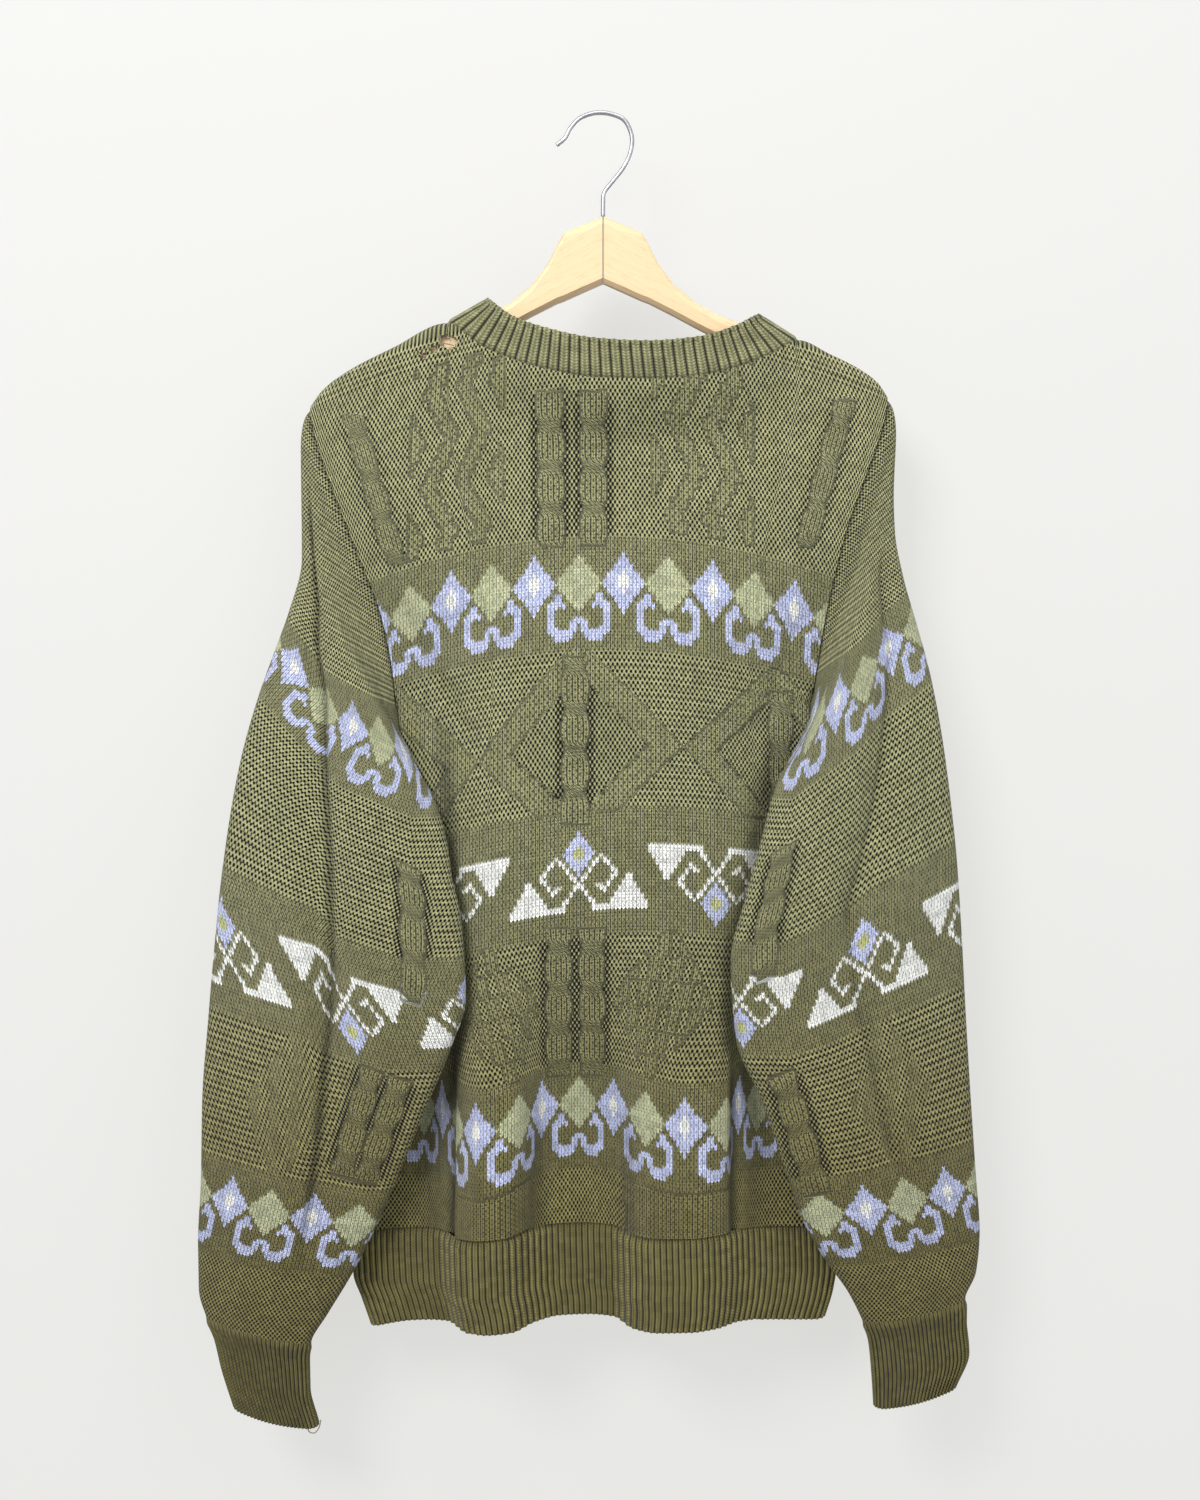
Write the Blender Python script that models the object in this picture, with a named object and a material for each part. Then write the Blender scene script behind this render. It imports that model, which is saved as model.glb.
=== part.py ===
"""Cable knit sweater hung by its shoulders on a wooden hanger, seen from its back.

Origin: where the hanger's wire hook rests on its support. +Z up, +X to the right of
someone who looks at the sweater's back, +Y from the back to the front of the garment.
Sizes below are millimetres on the hanging garment and turn to metres when a mesh is made.
"""

import math

import bmesh
import bpy
import numpy as np
from mathutils import Matrix

MM = 0.001
WALL = 2.0
GAP = 0.3
HANGER_THICKNESS = 12.0
SEAT = 0.8
SHOULDER_ROUND = HANGER_THICKNESS / 2 + SEAT + WALL
SIDE_ROUND = 8.0
UNDERARM_ROUND = 14.0
UNDERARM = 0.36
HEM = 1.115
PANEL_DROP = 608.0
NORMAL_STEP = 1e-5
CABLE_HEIGHT = 3.2
CABLE_TURN = 32.0
RIB_HEIGHT = 1.5
BACK, FRONT = -1, 1
SIDES = {"left": -1, "right": 1}

OLIVE = (0.155, 0.150, 0.078, 1.0)
BEECH = (0.80, 0.60, 0.36, 1.0)
ZINC = (0.55, 0.55, 0.56, 1.0)

# The panels' upper edge: shoulder seams at both ends and the neckline between them.
# Depths are out from the plane of the hanger, towards the back and the front.
TOP_EDGE_COLUMNS = ("x", "back_z", "front_z", "back_depth", "front_depth")
TOP_EDGE = (
    (-205, -203, -203, 0, 0),
    (-196, -191, -191, 0, 0),
    (-180, -179, -179, 0, 0),
    (-145, -161, -161, 0, 0),
    (-107, -144, -144, 0, 0),
    (-105, -144.6, -144.6, 8.5, 8.5),
    (-98, -149, -150.5, 11, 11),
    (-82, -162, -180, 15, 13),
    (-60, -172, -201, 20, 17),
    (-35, -180, -215, 24, 19),
    (0, -186, -223, 26, 20),
    (40, -187, -224, 26, 20),
    (75, -184, -215, 24, 19),
    (100, -178, -201, 20, 17),
    (122, -169, -181, 15, 13),
    (136, -161, -162, 11, 11),
    (143, -156.6, -156.6, 8.5, 8.5),
    (145, -156, -156, 0, 0),
    (168, -166, -166, 0, 0),
    (190, -177, -177, 0, 0),
    (202, -186, -186, 0, 0),
    (209, -196, -196, 0, 0),
)
NECK_LEFT, NECK_RIGHT = -107, 145
LEFT_UNDERARM, RIGHT_UNDERARM = -418, -411

# The panels' side edges: the armhole from the shoulder point to the underarm, then the
# side seam down to the hem, which draws in at its lower corners.
LEFT_EDGE = (
    (-203, -205), (-220, -202), (-238, -197), (-255, -191), (-272, -185), (-290, -178),
    (-314, -169), (-347, -157), (-388, -146), (-419, -140), (-477, -145), (-545, -155), (-623, -164), (-702, -172),
    (-814, -181), (-842, -180), (-860, -174), (-884, -166),
)
RIGHT_EDGE = (
    (-196, 209), (-213, 206), (-230, 201), (-247, 195), (-266, 188), (-286, 181),
    (-308, 175), (-347, 167), (-388, 158), (-412, 152), (-461, 156), (-530, 163), (-611, 169),
    (-691, 174), (-806, 177), (-835, 178), (-852, 176), (-877, 169),
)
RIB_SEAM = ((-213, -812), (-160, -804), (-90, -802), (0, -801), (90, -801), (216, -804))

# How far each panel stands out from the hanger's plane on its way down.
DEPTH_COLUMNS = ("z", "back", "front")
DEPTH = (
    (-140, 10.3, 10.3),
    (-205, 10.8, 10.8),
    (-260, 14, 12),
    (-350, 21, 15),
    (-450, 28, 19),
    (-550, 33, 22),
    (-650, 31, 22),
    (-760, 26, 20),
    (-900, 24, 18),
)
SIDE_SHARE, SIDE_REACH = 0.32, 105.0
SIDES_START, SIDES_FULL = -240, -400
NECK_DEPTH, NECK_REACH = 9.0, 55.0
# The sleeves push the body's sides towards the front.
PUSHED, PUSHED_REACH, PUSHED_TOP, PUSHED_FULL = 7.0, 85.0, -300, -400

# The folds that the hem hangs in, as depths at the rib. They die out upwards.
HEM_FOLD_COLUMNS = ("x", "back", "front")
HEM_FOLDS = (
    (-181, 8, 8),
    (-160, 10, 14),
    (-135, 11, 22),
    (-117, 15, 25),
    (-100, 38, 19),
    (-85, 44, 13),
    (-66, 40, 14),
    (-50, 22, 21),
    (-30, 10, 28),
    (-8, 8, 30),
    (12, 12, 24),
    (27, 34, 16),
    (45, 42, 12),
    (70, 41, 13),
    (90, 34, 19),
    (108, 20, 24),
    (130, 13, 23),
    (152, 11, 18),
    (178, 8, 8),
)
FOLD_TOP, FOLD_FULL = -560, -790

# Sleeve sections from the armhole to the cuff's edge: the outer fold, the inner fold,
# how far in front of the hanger's plane each lies, and how far the two walls stand out.
SECTION_COLUMNS = ("outer_x", "outer_z", "inner_x", "inner_z", "outer_y", "inner_y", "fore", "aft",
                   "valley_at", "valley")
SLEEVE = {
    "left": (
        (-213, -240, -145, -425, 0, 4, 9, 9, 0.10, 0),
        (-213, -281, -144, -435, 0, -2, 11, 10, 0.10, 0),
        (-213, -313, -136, -450, -2, -12, 14, 12, 0.13, 3),
        (-222, -349, -126, -468, -4, -18, 16, 13, 0.22, 5),
        (-230, -372, -114, -491, -6, -22, 18, 14, 0.28, 6),
        (-244, -410, -107, -514, -8, -27, 19, 15, 0.34, 7),
        (-257, -455, -103, -540, -10, -31, 20, 15, 0.40, 7),
        (-266, -500, -96, -572, -11, -35, 21, 15, 0.43, 7),
        (-274, -555, -93, -624, -12, -38, 22, 15, 0.47, 6),
        (-279, -600, -105, -665, -12, -37, 22, 15, 0.52, 6),
        (-284, -650, -122, -706, -12, -36, 22, 15, 0.60, 6),
        (-289, -705, -138, -745, -12, -34, 22, 15, 0.66, 5),
        (-291, -765, -158, -792, -12, -32, 21, 15, 0.70, 4),
        (-294, -815, -177, -830, -12, -29, 20, 15, 0.70, 2),
        (-294, -848, -196, -862, -12, -26, 18, 14, 0.70, 0),
        (-289, -868, -209, -884, -13, -24, 15, 12, 0.70, 0),
        (-282, -885, -212, -899, -13, -23, 13, 11, 0.70, 0),
        (-276, -910, -212, -922, -14, -22, 13, 11, 0.70, 0),
        (-268, -937, -206, -949, -14, -21, 14, 12, 0.70, 0),
    ),
    "right": (
        (216, -230, 157, -418, 0, 4, 9, 9, 0.10, 0),
        (215, -264, 156, -429, 0, -2, 11, 10, 0.10, 0),
        (216, -293, 149, -442, -2, -12, 14, 12, 0.13, 3),
        (222, -325, 140, -456, -4, -18, 16, 13, 0.17, 5),
        (231, -357, 131, -471, -6, -22, 18, 14, 0.20, 6),
        (241, -393, 124, -491, -8, -27, 19, 15, 0.28, 7),
        (250, -438, 116, -521, -10, -31, 20, 15, 0.36, 7),
        (257, -486, 106, -556, -11, -35, 21, 15, 0.42, 7),
        (262, -530, 96, -600, -12, -38, 22, 15, 0.48, 6),
        (266, -580, 100, -655, -12, -37, 22, 15, 0.53, 6),
        (270, -640, 119, -701, -12, -36, 22, 15, 0.52, 6),
        (274, -695, 133, -742, -12, -34, 22, 15, 0.50, 5),
        (279, -757, 149, -789, -12, -32, 21, 15, 0.40, 5),
        (283, -806, 166, -820, -12, -29, 20, 15, 0.32, 4),
        (281, -835, 184, -846, -12, -26, 18, 14, 0.30, 0),
        (273, -856, 195, -868, -13, -24, 15, 12, 0.30, 0),
        (273, -873, 201, -883, -13, -23, 13, 11, 0.30, 0),
        (275, -896, 204, -908, -14, -22, 13, 11, 0.30, 0),
        (266, -921, 206, -934, -14, -21, 14, 12, 0.30, 0),
    ),
}
CUFF_SEAM, CUFF_EDGE = 16.0, 19.0
VALLEY_WIDTH = 0.10
FOLD_ROUND, ASLANT_FOLD = 7.0, 6.0
SLEEVE_CLEARANCE, LESSER_ROUND, LEAD_OUT = 3.0, 3.0, 0.5
SECTION_STEP = 48.0
# Millimetres between the sections above a cuff and down it.
SLEEVE_PACE, CUFF_PACE = 40.0, 18.0
# Above the underarm a sleeve is free of the body, and past the body's edge it may lie back.
FREE_OF_BODY, EASED_PAST_EDGE = 40.0, 1.2
RIB_START = 0.12

# The neckband's free edge against its seam, from the left neck point to the right one.
BAND_COLUMNS = ("share", "x", "back_z", "front_z", "back_depth", "front_depth")
BAND_EDGE = (
    (0.00, -77, -127, -127, 0, 0),
    (0.06, -72, -132, -134, 9, 9),
    (0.15, -58, -142, -156, 13, 12),
    (0.28, -33, -151, -175, 17, 15),
    (0.43, 0, -158, -187, 20, 17),
    (0.58, 36, -160, -190, 21, 17),
    (0.72, 70, -157, -182, 18, 15),
    (0.85, 97, -149, -165, 14, 12),
    (0.94, 110, -142, -144, 9, 9),
    (1.00, 116, -138, -138, 0, 0),
)
BAND_RIBS = 66
BAND_HEIGHT, BAND_LEAN = 28.0, 3.4
HEM_RIBS = 84
CUFF_RIBS = 52

# Raised cables: down the middle of each body panel, and beside its armholes.
# Each row is one cable: x and z of its upper end, x and z of its lower end, its width.
BODY_CABLES = (
    (-33, -195, -32, -304, 20),
    (-2, -195, -2, -304, 20),
    (-15, -382, -15, -502, 20),
    (134, -408, 134, -502, 18),
    (-27, -577, -27, -688, 19),
    (-3, -577, -3, -688, 19),
    (-174, -210, -143, -316, 16),
    (178, -200, 150, -304, 16),
)
# On the sleeves a cable follows a line down the tube: how far round it runs, the
# sections it starts and ends at, and its width.
SLEEVE_CABLES = {
    "left": ((0.80, 7.2, 9.4, 20), (0.74, 10.6, 12.4, 18), (0.86, 10.6, 12.4, 18)),
    "right": ((0.86, 7.2, 9.4, 20), (0.88, 10.7, 12.6, 20)),
}

# The tear near the left neck point: x and z of each hole's middle, and its half sizes.
TEAR = ((-106, -157, 5.2, 3.6), (-117, -163, 2.4, 2.4), (-124, -168, 2.4, 2.4))
TEAR_SIDES, TEAR_MIDDLE, TEAR_DEPTH = 10, 12.0, 16.0

# The hanger: upper and lower edges of the mitred head and of the arms.
HANGER_MIDDLE = 5.0
HEAD_COLUMNS = ("out", "top", "bottom")
HEAD = (
    (0.15, -69, -116),
    (14, -74.5, -122),
    (27.5, -80, -128),
    (33, -89, -130),
    (39, -101, -133),
    (51, -117, -139),
    (66, -129, -147),
    (80, -137, -154),
)
ARM_HEIGHT = 17.0
ARM_STARTS = {"left": -115, "right": 153}
ARM_ENDS = {"left": -184, "right": 191}
ARM_SEAT = WALL + SEAT
ARM_SLOPE = math.radians(27)
ARM_STEPS = 2
HOOK_WIRE = 1.6
HOOK_ROUTE = (
    (5, -68.5), (5, -60), (6, -52), (13, -43), (20, -34), (24.5, -24), (25.5, -13),
    (20.5, -2), (11, 2.6), (0, 3.5), (-11, 0), (-18, -7), (-22, -14), (-28, -19),
)


def column(table, names, name):
    return np.array([row[names.index(name)] for row in table], float)


def curve(where, values, at):
    """Smooth curve through the values that never overshoots them. Positions rise."""
    where, values = np.asarray(where, float), np.asarray(values, float)
    at = np.asarray(at, float)
    steps = np.diff(where)
    slopes = np.diff(values) / steps
    bend = np.zeros(len(where))
    for i in range(1, len(where) - 1):
        before, after = slopes[i - 1], slopes[i]
        if before * after > 0:
            bend[i] = 2 * before * after / (before + after)
    bend[0], bend[-1] = slopes[0], slopes[-1]
    i = np.clip(np.searchsorted(where, at, side="right") - 1, 0, len(steps) - 1)
    t = np.clip((at - where[i]) / steps[i], 0, 1)
    h = steps[i]
    return ((2 * t**3 - 3 * t**2 + 1) * values[i] + (t**3 - 2 * t**2 + t) * h * bend[i]
            + (3 * t**2 - 2 * t**3) * values[i + 1] + (t**3 - t**2) * h * bend[i + 1])


def edge_curve(edge, z):
    rows = sorted(edge)
    return curve([row[0] for row in rows], [row[1] for row in rows], z)


def smooth(low, high, value):
    t = np.clip((np.asarray(value, float) - low) / (high - low), 0, 1)
    return t * t * (3 - 2 * t)


def round_over(along, radius, share):
    """A walk that starts square to the panel and bends into it: inset, and part of the rise.
    Where the share is 0 the edge is plain and the walk is straight."""
    angle = np.minimum(along / radius, math.pi / 2)
    past = np.maximum(along - radius * math.pi / 2, 0)
    bent = radius * (1 - np.cos(angle)) + past
    return along * (1 - share) + bent * share, 1 - share + share * np.sin(angle)


def round_over_length(radius, share):
    return (math.pi / 2 - 1) * radius * share


def top_edge(face, across):
    x = TOP_EDGE[0][0] + (TOP_EDGE[-1][0] - TOP_EDGE[0][0]) * across
    where = column(TOP_EDGE, TOP_EDGE_COLUMNS, "x")
    name = "back" if face == BACK else "front"
    z = curve(where, column(TOP_EDGE, TOP_EDGE_COLUMNS, name + "_z"), x)
    depth = curve(where, column(TOP_EDGE, TOP_EDGE_COLUMNS, name + "_depth"), x)
    return x, z, depth


def hang(face, x, z):
    """How far a panel stands out at a place away from its edges."""
    name = "back" if face == BACK else "front"
    level = -np.asarray(z, float)
    depth = curve(-column(DEPTH, DEPTH_COLUMNS, "z"), column(DEPTH, DEPTH_COLUMNS, name), level)
    from_side = np.minimum(x - edge_curve(LEFT_EDGE, z), edge_curve(RIGHT_EDGE, z) - x)
    flat = smooth(SIDES_START, SIDES_FULL, z)
    share = 1 - flat * (1 - SIDE_SHARE) * (1 - smooth(0, SIDE_REACH, from_side))
    left, right = edge_curve(LEFT_EDGE, z), edge_curve(RIGHT_EDGE, z)
    places = column(HEM_FOLDS, HEM_FOLD_COLUMNS, "x")
    place = places[0] + (x - left) / (right - left) * (places[-1] - places[0])
    fold = curve(places, column(HEM_FOLDS, HEM_FOLD_COLUMNS, name), place)
    full = smooth(FOLD_TOP, FOLD_FULL, z)
    return depth * share * (1 - full) + fold * full


def pushed(x, z):
    """How far the sleeves push the body's side towards the front."""
    from_side = np.minimum(x - edge_curve(LEFT_EDGE, z), edge_curve(RIGHT_EDGE, z) - x)
    low = smooth(PUSHED_TOP, PUSHED_FULL, z) * (1 - smooth(FOLD_TOP, FOLD_FULL, z))
    return PUSHED * low * (1 - smooth(0, PUSHED_REACH, from_side))


def panel(face, across, down):
    """Outer surface of a body panel. Down is 0 at the shoulders, 1 at the rib, then the hem."""
    across, down = np.broadcast_arrays(np.asarray(across, float), np.asarray(down, float))
    top_x, top_z, top_depth = top_edge(face, across)
    seam = curve([row[0] for row in RIB_SEAM], [row[1] for row in RIB_SEAM], top_x)
    ends = TOP_EDGE[0][1] + (TOP_EDGE[-1][1] - TOP_EDGE[0][1]) * across
    # Low rows run level, and the shape of the upper edge dies out on the way down.
    walk = down * (ends - seam) + (top_z - ends) * (1 - np.maximum(1 - down, 0) ** 3)
    neck = np.clip(top_depth / NECK_DEPTH, 0, 1)
    walk = walk * (1 + round_over_length(SHOULDER_ROUND, 1 - neck) / (top_z - seam))
    inset, rise = round_over(walk, SHOULDER_ROUND, 1 - neck)
    z = top_z - inset
    left, right = edge_curve(LEFT_EDGE, z), edge_curve(RIGHT_EDGE, z)
    near_left = across < 0.5
    above = np.clip((z - np.where(near_left, LEFT_UNDERARM, RIGHT_UNDERARM)) / UNDERARM_ROUND, 0, 1)
    sewn = 1 - np.sqrt(1 - (1 - above) ** 2)
    width = right - left + 2 * round_over_length(SIDE_ROUND, sewn)
    along = np.where(near_left, across, 1 - across) * width
    inset, side_rise = round_over(along, SIDE_ROUND, sewn)
    x = np.where(near_left, left + inset, right - inset)
    reach = smooth(0, NECK_REACH, walk)
    depth = hang(face, x, z)
    depth = depth * (1 - neck * (1 - reach)) + top_depth * (1 - reach) * neck
    depth = depth * rise * side_rise
    return np.stack([x, face * depth + pushed(x, z), z], axis=-1)


def across_at(x):
    return (x - TOP_EDGE[0][0]) / (TOP_EDGE[-1][0] - TOP_EDGE[0][0])


def section(side, at):
    where = np.arange(1, len(SLEEVE[side]) + 1)
    return [curve(where, column(SLEEVE[side], SECTION_COLUMNS, name), at) for name in SECTION_COLUMNS]


def lesser(first, second):
    """The lesser of two values, rounded where they are near each other."""
    gap = second - first
    return first + 0.5 * (gap - np.sqrt(gap * gap + LESSER_ROUND**2))


def body_limit(side, x, z):
    """The foremost place for a sleeve's far wall, so that it lies in front of the body's side."""
    edge = edge_curve(LEFT_EDGE, z) if side == "left" else edge_curve(RIGHT_EDGE, z)
    inside = -(x - edge) * SIDES[side] + SLEEVE_CLEARANCE
    reach = np.clip(inside / (SIDE_ROUND + SLEEVE_CLEARANCE), 0, 1)
    body = hang(BACK, x, z) * np.sqrt(1 - (1 - reach) ** 2) - pushed(x, z)
    return np.maximum(-inside, 0) * EASED_PAST_EDGE - body - SLEEVE_CLEARANCE


def ring_share(width, turn, fold):
    """How far across a flat tube a turn lies, as a share of its width, and its fold's rise."""
    walk = np.abs(turn - 0.5) * 2
    near_outer = walk > 0.5
    along = np.where(near_outer, 1 - walk, walk) * (width + 2 * round_over_length(fold, 1))
    inset, rise = round_over(along, fold, 1)
    return np.where(near_outer, inset / width, 1 - inset / width), rise


def ring_turn(width, share, fold):
    """The turn at which a tube's near wall lies at a share of its width, away from its folds."""
    spare = round_over_length(fold, 1)
    return (share * width + spare) / (width + 2 * spare) / 2


def fold_round(at):
    """How far in from a fold a section bends: further where the section crosses it aslant."""
    return FOLD_ROUND + ASLANT_FOLD * (1 - smooth(2, 6, at))


def tube_ring(side, turn, at):
    """A sleeve section. Turn runs from the outer fold (0) over the back to the inner fold
    (0.5) and round the front."""
    ox, oz, ix, iz, oy, iy, fore, aft, valley_at, valley = section(side, at)
    width = np.hypot(ix - ox, iz - oz)
    share, rise = ring_share(width, turn, fold_round(at))
    full = np.sin(math.pi * np.clip(share, 0, 1))
    crease = valley * np.exp(-((share - valley_at) / VALLEY_WIDTH) ** 2)
    fore = FOLD_ROUND * rise + (fore - FOLD_ROUND) * full - crease
    aft = FOLD_ROUND * rise + (aft - FOLD_ROUND) * full
    x, z = ox + (ix - ox) * share, oz + (iz - oz) * share
    laid = smooth(1.0, 3.0, at)
    limit = body_limit(side, x, z) - aft + FREE_OF_BODY * (1 - laid)
    middle = lesser(oy + (iy - oy) * share, limit)
    return np.stack([x, middle + np.where(turn > 0.5, aft, -fore), z], axis=-1)


def armhole(side, turn):
    """The armhole seam as the panels have it, turned as the sleeve sections are."""
    turn = np.asarray(turn, float) % 1.0
    behind = turn > 0.5
    down = UNDERARM * np.where(behind, 2 - 2 * turn, 2 * turn)
    end = 0.0 if side == "left" else 1.0
    points = [panel(face, np.full(turn.shape, end), down) for face in (BACK, FRONT)]
    return np.where(behind[..., None], points[1], points[0])


def armhole_normal(side, turn):
    turn = np.asarray(turn, float) % 1.0
    behind = turn > 0.5
    down = UNDERARM * np.where(behind, 2 - 2 * turn, 2 * turn)
    end = 0.0 if side == "left" else 1.0
    normals = [panel_normal(face, np.full(turn.shape, end), down) for face in (BACK, FRONT)]
    return np.where(behind[..., None], normals[1], normals[0])


def sleeve(side, turn, at):
    """Outer surface of a sleeve. At is 0 on the armhole seam, then the section's number."""
    turn, at = np.broadcast_arrays(np.asarray(turn, float), np.asarray(at, float))
    turn = turn % 1.0
    tube = tube_ring(side, turn, np.maximum(at, 1.0))
    pace = tube_ring(side, turn, np.full(at.shape, 1.5)) - tube_ring(side, turn, np.full(at.shape, 1.0))
    seam = armhole(side, turn)
    first = tube_ring(side, turn, np.full(at.shape, 1.0))
    span = np.linalg.norm(first - seam, axis=-1, keepdims=True)
    out = float(SIDES[side])
    away = (first - seam) / span
    lead = away + np.array([LEAD_OUT * out, 0.0, 0.0])
    lead = lead / np.linalg.norm(lead, axis=-1, keepdims=True)
    t = np.clip(at, 0, 1)[..., None]
    joined = ((2 * t**3 - 3 * t**2 + 1) * seam + (t**3 - 2 * t**2 + t) * span * lead
              + (3 * t**2 - 2 * t**3) * first + (t**3 - t**2) * 2 * pace)
    return np.where(at[..., None] < 1, joined, tube)


def neckband(turn, up):
    """Outer surface of the neckband. Turn goes along the back, left to right, then home
    along the front. Up is 0 on the seam and 1 on the free edge."""
    turn, up = np.broadcast_arrays(np.asarray(turn, float), np.asarray(up, float))
    turn = turn % 1.0
    behind = turn > 0.5
    share = np.where(behind, 2 - 2 * turn, 2 * turn)
    across = across_at(NECK_LEFT + (NECK_RIGHT - NECK_LEFT) * share)
    seams = [panel(face, across, np.zeros(share.shape)) for face in (BACK, FRONT)]
    where = column(BAND_EDGE, BAND_COLUMNS, "share")
    x = curve(where, column(BAND_EDGE, BAND_COLUMNS, "x"), share)
    edges = []
    for face, name in ((BACK, "back"), (FRONT, "front")):
        z = curve(where, column(BAND_EDGE, BAND_COLUMNS, name + "_z"), share)
        depth = curve(where, column(BAND_EDGE, BAND_COLUMNS, name + "_depth"), share)
        edges.append(np.stack([x, face * depth, z], axis=-1))
    pick = behind[..., None]
    seam, edge = np.where(pick, seams[1], seams[0]), np.where(pick, edges[1], edges[0])
    up = up[..., None]
    return seam + (edge - seam) * up


def normal_of(surface, a, b, outward):
    """Unit normals of a surface of two shares, turned to the outside by the given sign."""
    step = NORMAL_STEP
    along = surface(a + step, b) - surface(a - step, b)
    down = surface(a, b + step) - surface(a, b - step)
    normal = np.cross(along, down) * outward
    return normal / np.maximum(np.linalg.norm(normal, axis=-1, keepdims=True), 1e-9)


def panel_normal(face, across, down):
    inner_across = np.clip(across, NORMAL_STEP, 1 - NORMAL_STEP)
    inner_down = np.maximum(down, NORMAL_STEP)
    return normal_of(lambda a, b: panel(face, a, b), inner_across, inner_down, face)


def sleeve_normal(side, turn, at):
    turn, at = np.broadcast_arrays(np.asarray(turn, float), np.asarray(at, float))
    inner = np.clip(at, 0.01, CUFF_EDGE - 0.01)
    normal = normal_of(lambda a, b: sleeve(side, a, b), turn, inner, SIDES[side])
    at_underarm = 1 - smooth(0.008, 0.035, np.abs(turn % 1.0 - 0.5))
    share = np.maximum(smooth(0.0, 0.35, at), at_underarm)[..., None]
    normal = armhole_normal(side, turn) * (1 - share) + normal * share
    return normal / np.linalg.norm(normal, axis=-1, keepdims=True)


def neckband_normal(turn, up):
    turn, up = np.broadcast_arrays(np.asarray(turn, float), np.asarray(up, float))
    normal = normal_of(neckband, turn, np.clip(up, NORMAL_STEP, 1 - NORMAL_STEP), 1)
    turn = turn % 1.0
    behind = turn > 0.5
    share = np.where(behind, 2 - 2 * turn, 2 * turn)
    across = across_at(NECK_LEFT + (NECK_RIGHT - NECK_LEFT) * share)
    seams = [panel_normal(face, across, np.zeros(share.shape)) for face in (BACK, FRONT)]
    seam = np.where(behind[..., None], seams[1], seams[0])
    part = smooth(0.0, 0.3, up)[..., None]
    normal = seam * (1 - part) + normal * part
    return normal / np.linalg.norm(normal, axis=-1, keepdims=True)


def strands(offset, travel, width):
    """Height of a two-strand cable at an offset from its middle, travel down its length."""
    sway = 0.25 * width * np.cos(2 * math.pi * travel / (2 * CABLE_TURN))
    half = 0.30 * width
    high = 0.0
    for centre, lift in ((sway, 1.0), (-sway, 0.86)):
        high = np.maximum(high, lift * np.sqrt(np.clip(1 - ((offset - centre) / half) ** 2, 0, 1)))
    return CABLE_HEIGHT * high


def body_relief(face, points):
    x, z = points[..., 0], points[..., 2]
    height = np.zeros(x.shape)
    for top_x, top_z, low_x, low_z, width in panel_cables(face):
        share = (z - top_z) / (low_z - top_z)
        middle = top_x + (low_x - top_x) * share
        ends = smooth(0, 0.07, share) * smooth(0, 0.07, 1 - share)
        height = np.maximum(height, ends * strands(x - middle, top_z - z, width))
    from_side = np.minimum(x - edge_curve(LEFT_EDGE, z), edge_curve(RIGHT_EDGE, z) - x)
    return height * smooth(6, 18, from_side)


def sleeve_relief(side, turn, at, points):
    height = np.zeros(np.shape(points)[:-1])
    ox, oz, ix, iz = section(side, np.maximum(at, 1.0))[:4]
    width = np.hypot(ix - ox, iz - oz)
    share = ring_share(width, turn, fold_round(at))[0]
    for place, start, end, wide in SLEEVE_CABLES[side]:
        ends = smooth(start, start + 0.15, at) * smooth(end, end - 0.15, at) * (turn < 0.5)
        travel = (at - start) * SECTION_STEP
        height = np.maximum(height, ends * strands((share - place) * width, travel, wide))
    return height


def panel_cables(face):
    """The seen back has every cable, and the front has those down its middle."""
    return [cable for cable in BODY_CABLES if face == BACK or abs(cable[0]) < MIDDLE_CABLES]


class Knit:
    """A closed wall of cloth: an outer skin, a plain inner skin and the edges between."""

    def __init__(self, name):
        self.name = name
        self.bm = bmesh.new()

    def points(self, coordinates):
        return [self.bm.verts.new([float(c) * MM for c in point]) for point in coordinates]

    def face(self, *corners):
        if len(set(corners)) == 3:
            self.bm.faces.new(corners)

    def between(self, first, first_at, second, second_at):
        """Triangles between two lines of points, each with its rising positions."""
        i = j = 0
        while i < len(first) - 1 or j < len(second) - 1:
            step_first = j == len(second) - 1
            if i < len(first) - 1 and j < len(second) - 1:
                step_first = first_at[i + 1] <= second_at[j + 1]
            if step_first:
                self.face(first[i], first[i + 1], second[j])
                i += 1
            else:
                self.face(first[i], second[j + 1], second[j])
                j += 1

    def finish(self, collection, material):
        bmesh.ops.recalc_face_normals(self.bm, faces=self.bm.faces)
        mesh = bpy.data.meshes.new(self.name)
        self.bm.to_mesh(mesh)
        self.bm.free()
        mesh.materials.append(material)
        mesh.shade_smooth()
        body = bpy.data.objects.new(self.name, mesh)
        collection.objects.link(body)
        return body


def skin(knit, rows, lines, closed):
    """Lays rows of points and joins each to the next. Lines are the rows' positions."""
    laid = []
    for row, line in zip(rows, lines):
        points = knit.points(row)
        laid.append((points + points[:1], list(line) + [line[0] + 1]) if closed else (points, list(line)))
    for (first, first_at), (second, second_at) in zip(laid, laid[1:]):
        knit.between(first, first_at, second, second_at)
    return laid


def cloth_material(name, colour, roughness, metallic=0.0):
    material = bpy.data.materials.new(name)
    material.use_nodes = True
    shader = material.node_tree.nodes["Principled BSDF"]
    shader.inputs["Base Color"].default_value = colour
    shader.inputs["Roughness"].default_value = roughness
    shader.inputs["Metallic"].default_value = metallic
    material.diffuse_color = colour
    return material


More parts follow.
